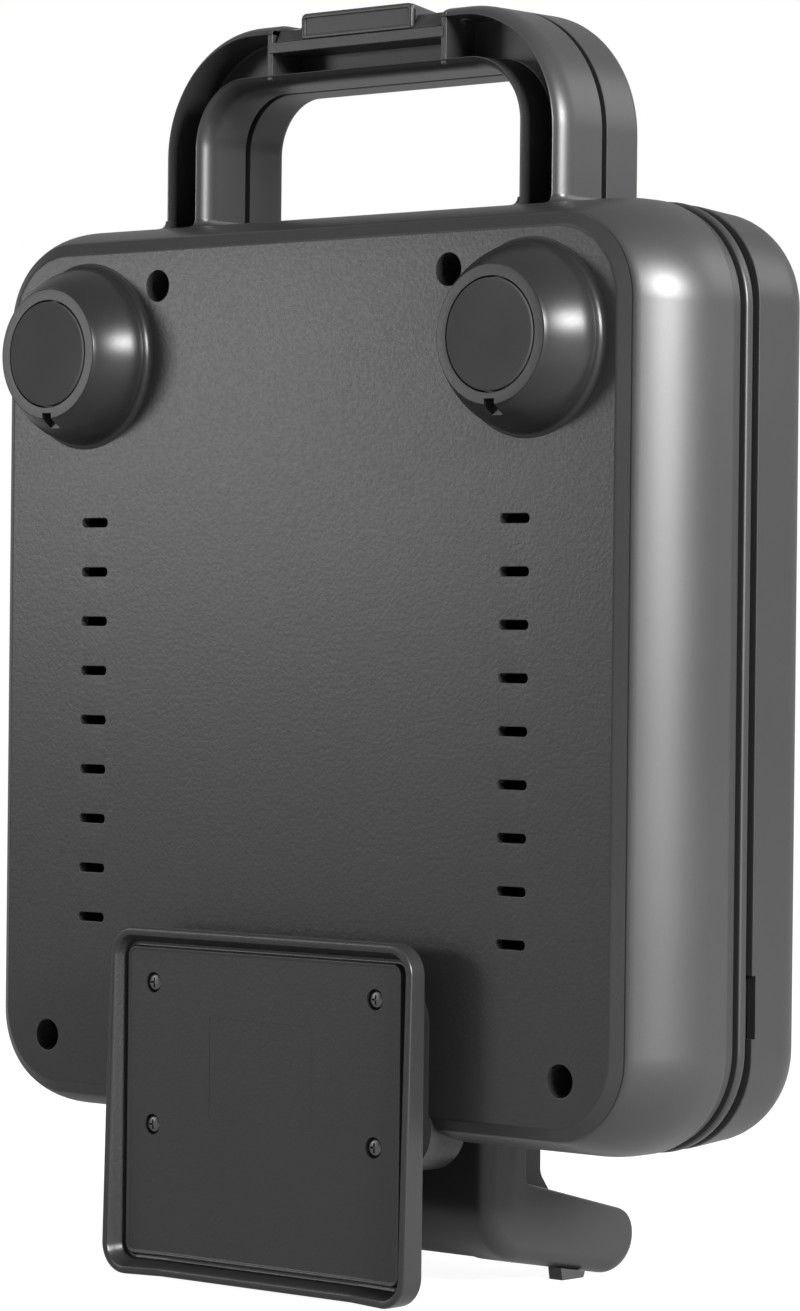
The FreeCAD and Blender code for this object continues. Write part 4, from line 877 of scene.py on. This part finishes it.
def crossbar():
    """The web between the arms, flush with their front."""
    outline = [(HINGE_FRONT, HINGE_TOP), HEEL, (44.3, -155.14), (44.3, HINGE_TOP)]
    web = slab(outline, 31.3, 0.01, 16)
    bm = carve(web, [block((-40.0, 38.4, -170.0), (40.0, 60.0, -100.0))])
    make_piece("crossbar", bm, "black_plastic", "base", ["hinge_crossbar"], crisp=40)


def knuckle():
    """The lid's knuckle on the hinge pin, hidden behind the web from the front."""
    outline = [(47.0, -118.9), (47.0, -142.0, 6.0), (55.5, -156.6, 7.0), (72.6, -156.6, 7.0)]
    outline += [(72.6, -142.0, 5.0), (66.4, -134.0, 5.0), (66.4, -112.8), (58.0, -117.5)]
    bm = carve(slab(outline, 30.4, 0.3, 10), [bore(3.3, HINGE_PIN, 32)])
    make_piece("knuckle", bm, "black_plastic", "lid", ["lid_knuckle"], crisp=40)


housing()
cover()
trim_band()
lid()
lower_grip()
upper_grip()
leg_coves()
latch()
feet()
cord_plate()
plate_screws()
neck()
arms()
crossbar()
knuckle()


# Stage, light and camera.


# The floor's half width and drop in metres. It glows white for the camera, and the share of it that
# doesn't glow shows the shadow. The world is white for the camera and else gives a plain low light.
FLOOR_SIZE, FLOOR_DROP = 6.0, 0.0002
FLOOR_GLOW, FLOOR_GLOW_SHARE = 1.58, 0.6
FLOOR_GREY = 0.5
WORLD_LIGHT = 0.35
# How much of the white backdrop is seen in a mirroring surface or through glass.
MIRRORED_SHARE = 0.2


def background_share(tree):
    """How much of the white backdrop a ray sees: all of it from the camera, less when mirrored."""
    ray = tree.nodes.new("ShaderNodeLightPath")

    def combine(operation, first, second):
        node = tree.nodes.new("ShaderNodeMath")
        node.operation = operation
        tree.links.new(first, node.inputs[0])
        if isinstance(second, float):
            node.inputs[1].default_value = second
        else:
            tree.links.new(second, node.inputs[1])
        return node.outputs[0]

    mirrored = combine("MAXIMUM", ray.outputs["Is Glossy Ray"], ray.outputs["Is Transmission Ray"])
    return combine("MAXIMUM", ray.outputs["Is Camera Ray"], combine("MULTIPLY", mirrored, MIRRORED_SHARE))


def stage():
    floor = bpy.data.meshes.new("floor")
    size = FLOOR_SIZE
    floor.from_pydata(
        [(-size, -size, 0), (size, -size, 0), (size, size, 0), (-size, size, 0)], [], [(0, 1, 2, 3)]
    )
    piece = bpy.data.objects.new("floor", floor)
    piece.location.z = -FLOOR_DROP
    bpy.context.scene.collection.objects.link(piece)
    material = bpy.data.materials.new("floor")
    material.use_nodes = True
    tree = material.node_tree
    shader = tree.nodes["Principled BSDF"]
    shader.inputs["Base Color"].default_value = (FLOOR_GREY, FLOOR_GREY, FLOOR_GREY, 1)
    shader.inputs["Roughness"].default_value = 0.9
    shader.inputs["Specular IOR Level"].default_value = 0.1
    glow = tree.nodes.new("ShaderNodeEmission")
    glow.inputs["Color"].default_value = (1, 1, 1, 1)
    glow.inputs["Strength"].default_value = FLOOR_GLOW
    mix = tree.nodes.new("ShaderNodeMixShader")
    share = tree.nodes.new("ShaderNodeMath")
    share.operation = "MULTIPLY"
    share.inputs[1].default_value = FLOOR_GLOW_SHARE
    tree.links.new(background_share(tree), share.inputs[0])
    tree.links.new(share.outputs[0], mix.inputs["Fac"])
    tree.links.new(shader.outputs[0], mix.inputs[1])
    tree.links.new(glow.outputs[0], mix.inputs[2])
    tree.links.new(mix.outputs[0], tree.nodes["Material Output"].inputs["Surface"])
    floor.materials.append(material)


def world():
    made = bpy.data.worlds.new("studio")
    bpy.context.scene.world = made
    made.use_nodes = True
    tree = made.node_tree
    background = tree.nodes["Background"]
    background.inputs["Color"].default_value = (1, 1, 1, 1)
    level = tree.nodes.new("ShaderNodeMapRange")
    level.inputs["To Min"].default_value = WORLD_LIGHT
    level.inputs["To Max"].default_value = 1.0
    tree.links.new(background_share(tree), level.inputs["Value"])
    tree.links.new(level.outputs["Result"], background.inputs["Strength"])


# Each lamp's place and size in metres and its power in watts. All aim at the object's middle.
AIM = Vector((0, 0, 0.16))
LAMPS = {
    "key": ((-0.9, -1.3, 1.3), (1.0, 1.0), 5),
    "front": ((-0.92, -0.98, 0.32), (0.35, 0.22), 3.3),
    "side": ((1.48, -0.20, 0.68), (0.65, 0.34), 76),
    "rim": ((0.9, 1.4, 1.0), (0.8, 0.8), 6),
}


def lights():
    for name, (place, size, power) in LAMPS.items():
        data = bpy.data.lights.new(name, "AREA")
        data.shape = "RECTANGLE"
        data.size, data.size_y = size
        data.energy = power
        piece = bpy.data.objects.new(name, data)
        piece.location = place
        piece.rotation_euler = (AIM - Vector(place)).to_track_quat("-Z", "Y").to_euler()
        bpy.context.scene.collection.objects.link(piece)


# The camera solved from the photograph: place in the drawing, turns in radians, and the focal length
# and the photograph's height in pixels. The sensor's height is in millimetres.
CAMERA_AT = (845.78, -909.17, 10.08)
YAW, PITCH, ROLL = 0.727104, -0.0042993, 0.010787
FOCAL, PHOTO_H = 4732.9, 1311
SENSOR_H = 36


def camera():
    data = bpy.data.cameras.new("camera")
    piece = bpy.data.objects.new("camera", data)
    flat = math.cos(PITCH)
    ahead = Vector((-math.sin(YAW) * flat, math.cos(YAW) * flat, math.sin(PITCH)))
    level = Vector((math.cos(YAW), math.sin(YAW), 0))
    upward = level.cross(ahead)
    right = level * math.cos(ROLL) + upward * math.sin(ROLL)
    upward = upward * math.cos(ROLL) - level * math.sin(ROLL)
    turn = Matrix((right, upward, -ahead)).transposed()
    piece.matrix_world = Matrix.Translation(at(*CAMERA_AT)) @ turn.to_4x4()
    data.sensor_fit = "VERTICAL"
    data.sensor_height = SENSOR_H
    data.lens = FOCAL * SENSOR_H / PHOTO_H
    data.clip_start = 0.05
    bpy.context.scene.collection.objects.link(piece)
    bpy.context.scene.camera = piece


stage()
world()
lights()
camera()
bpy.context.scene.view_settings.view_transform = "Standard"
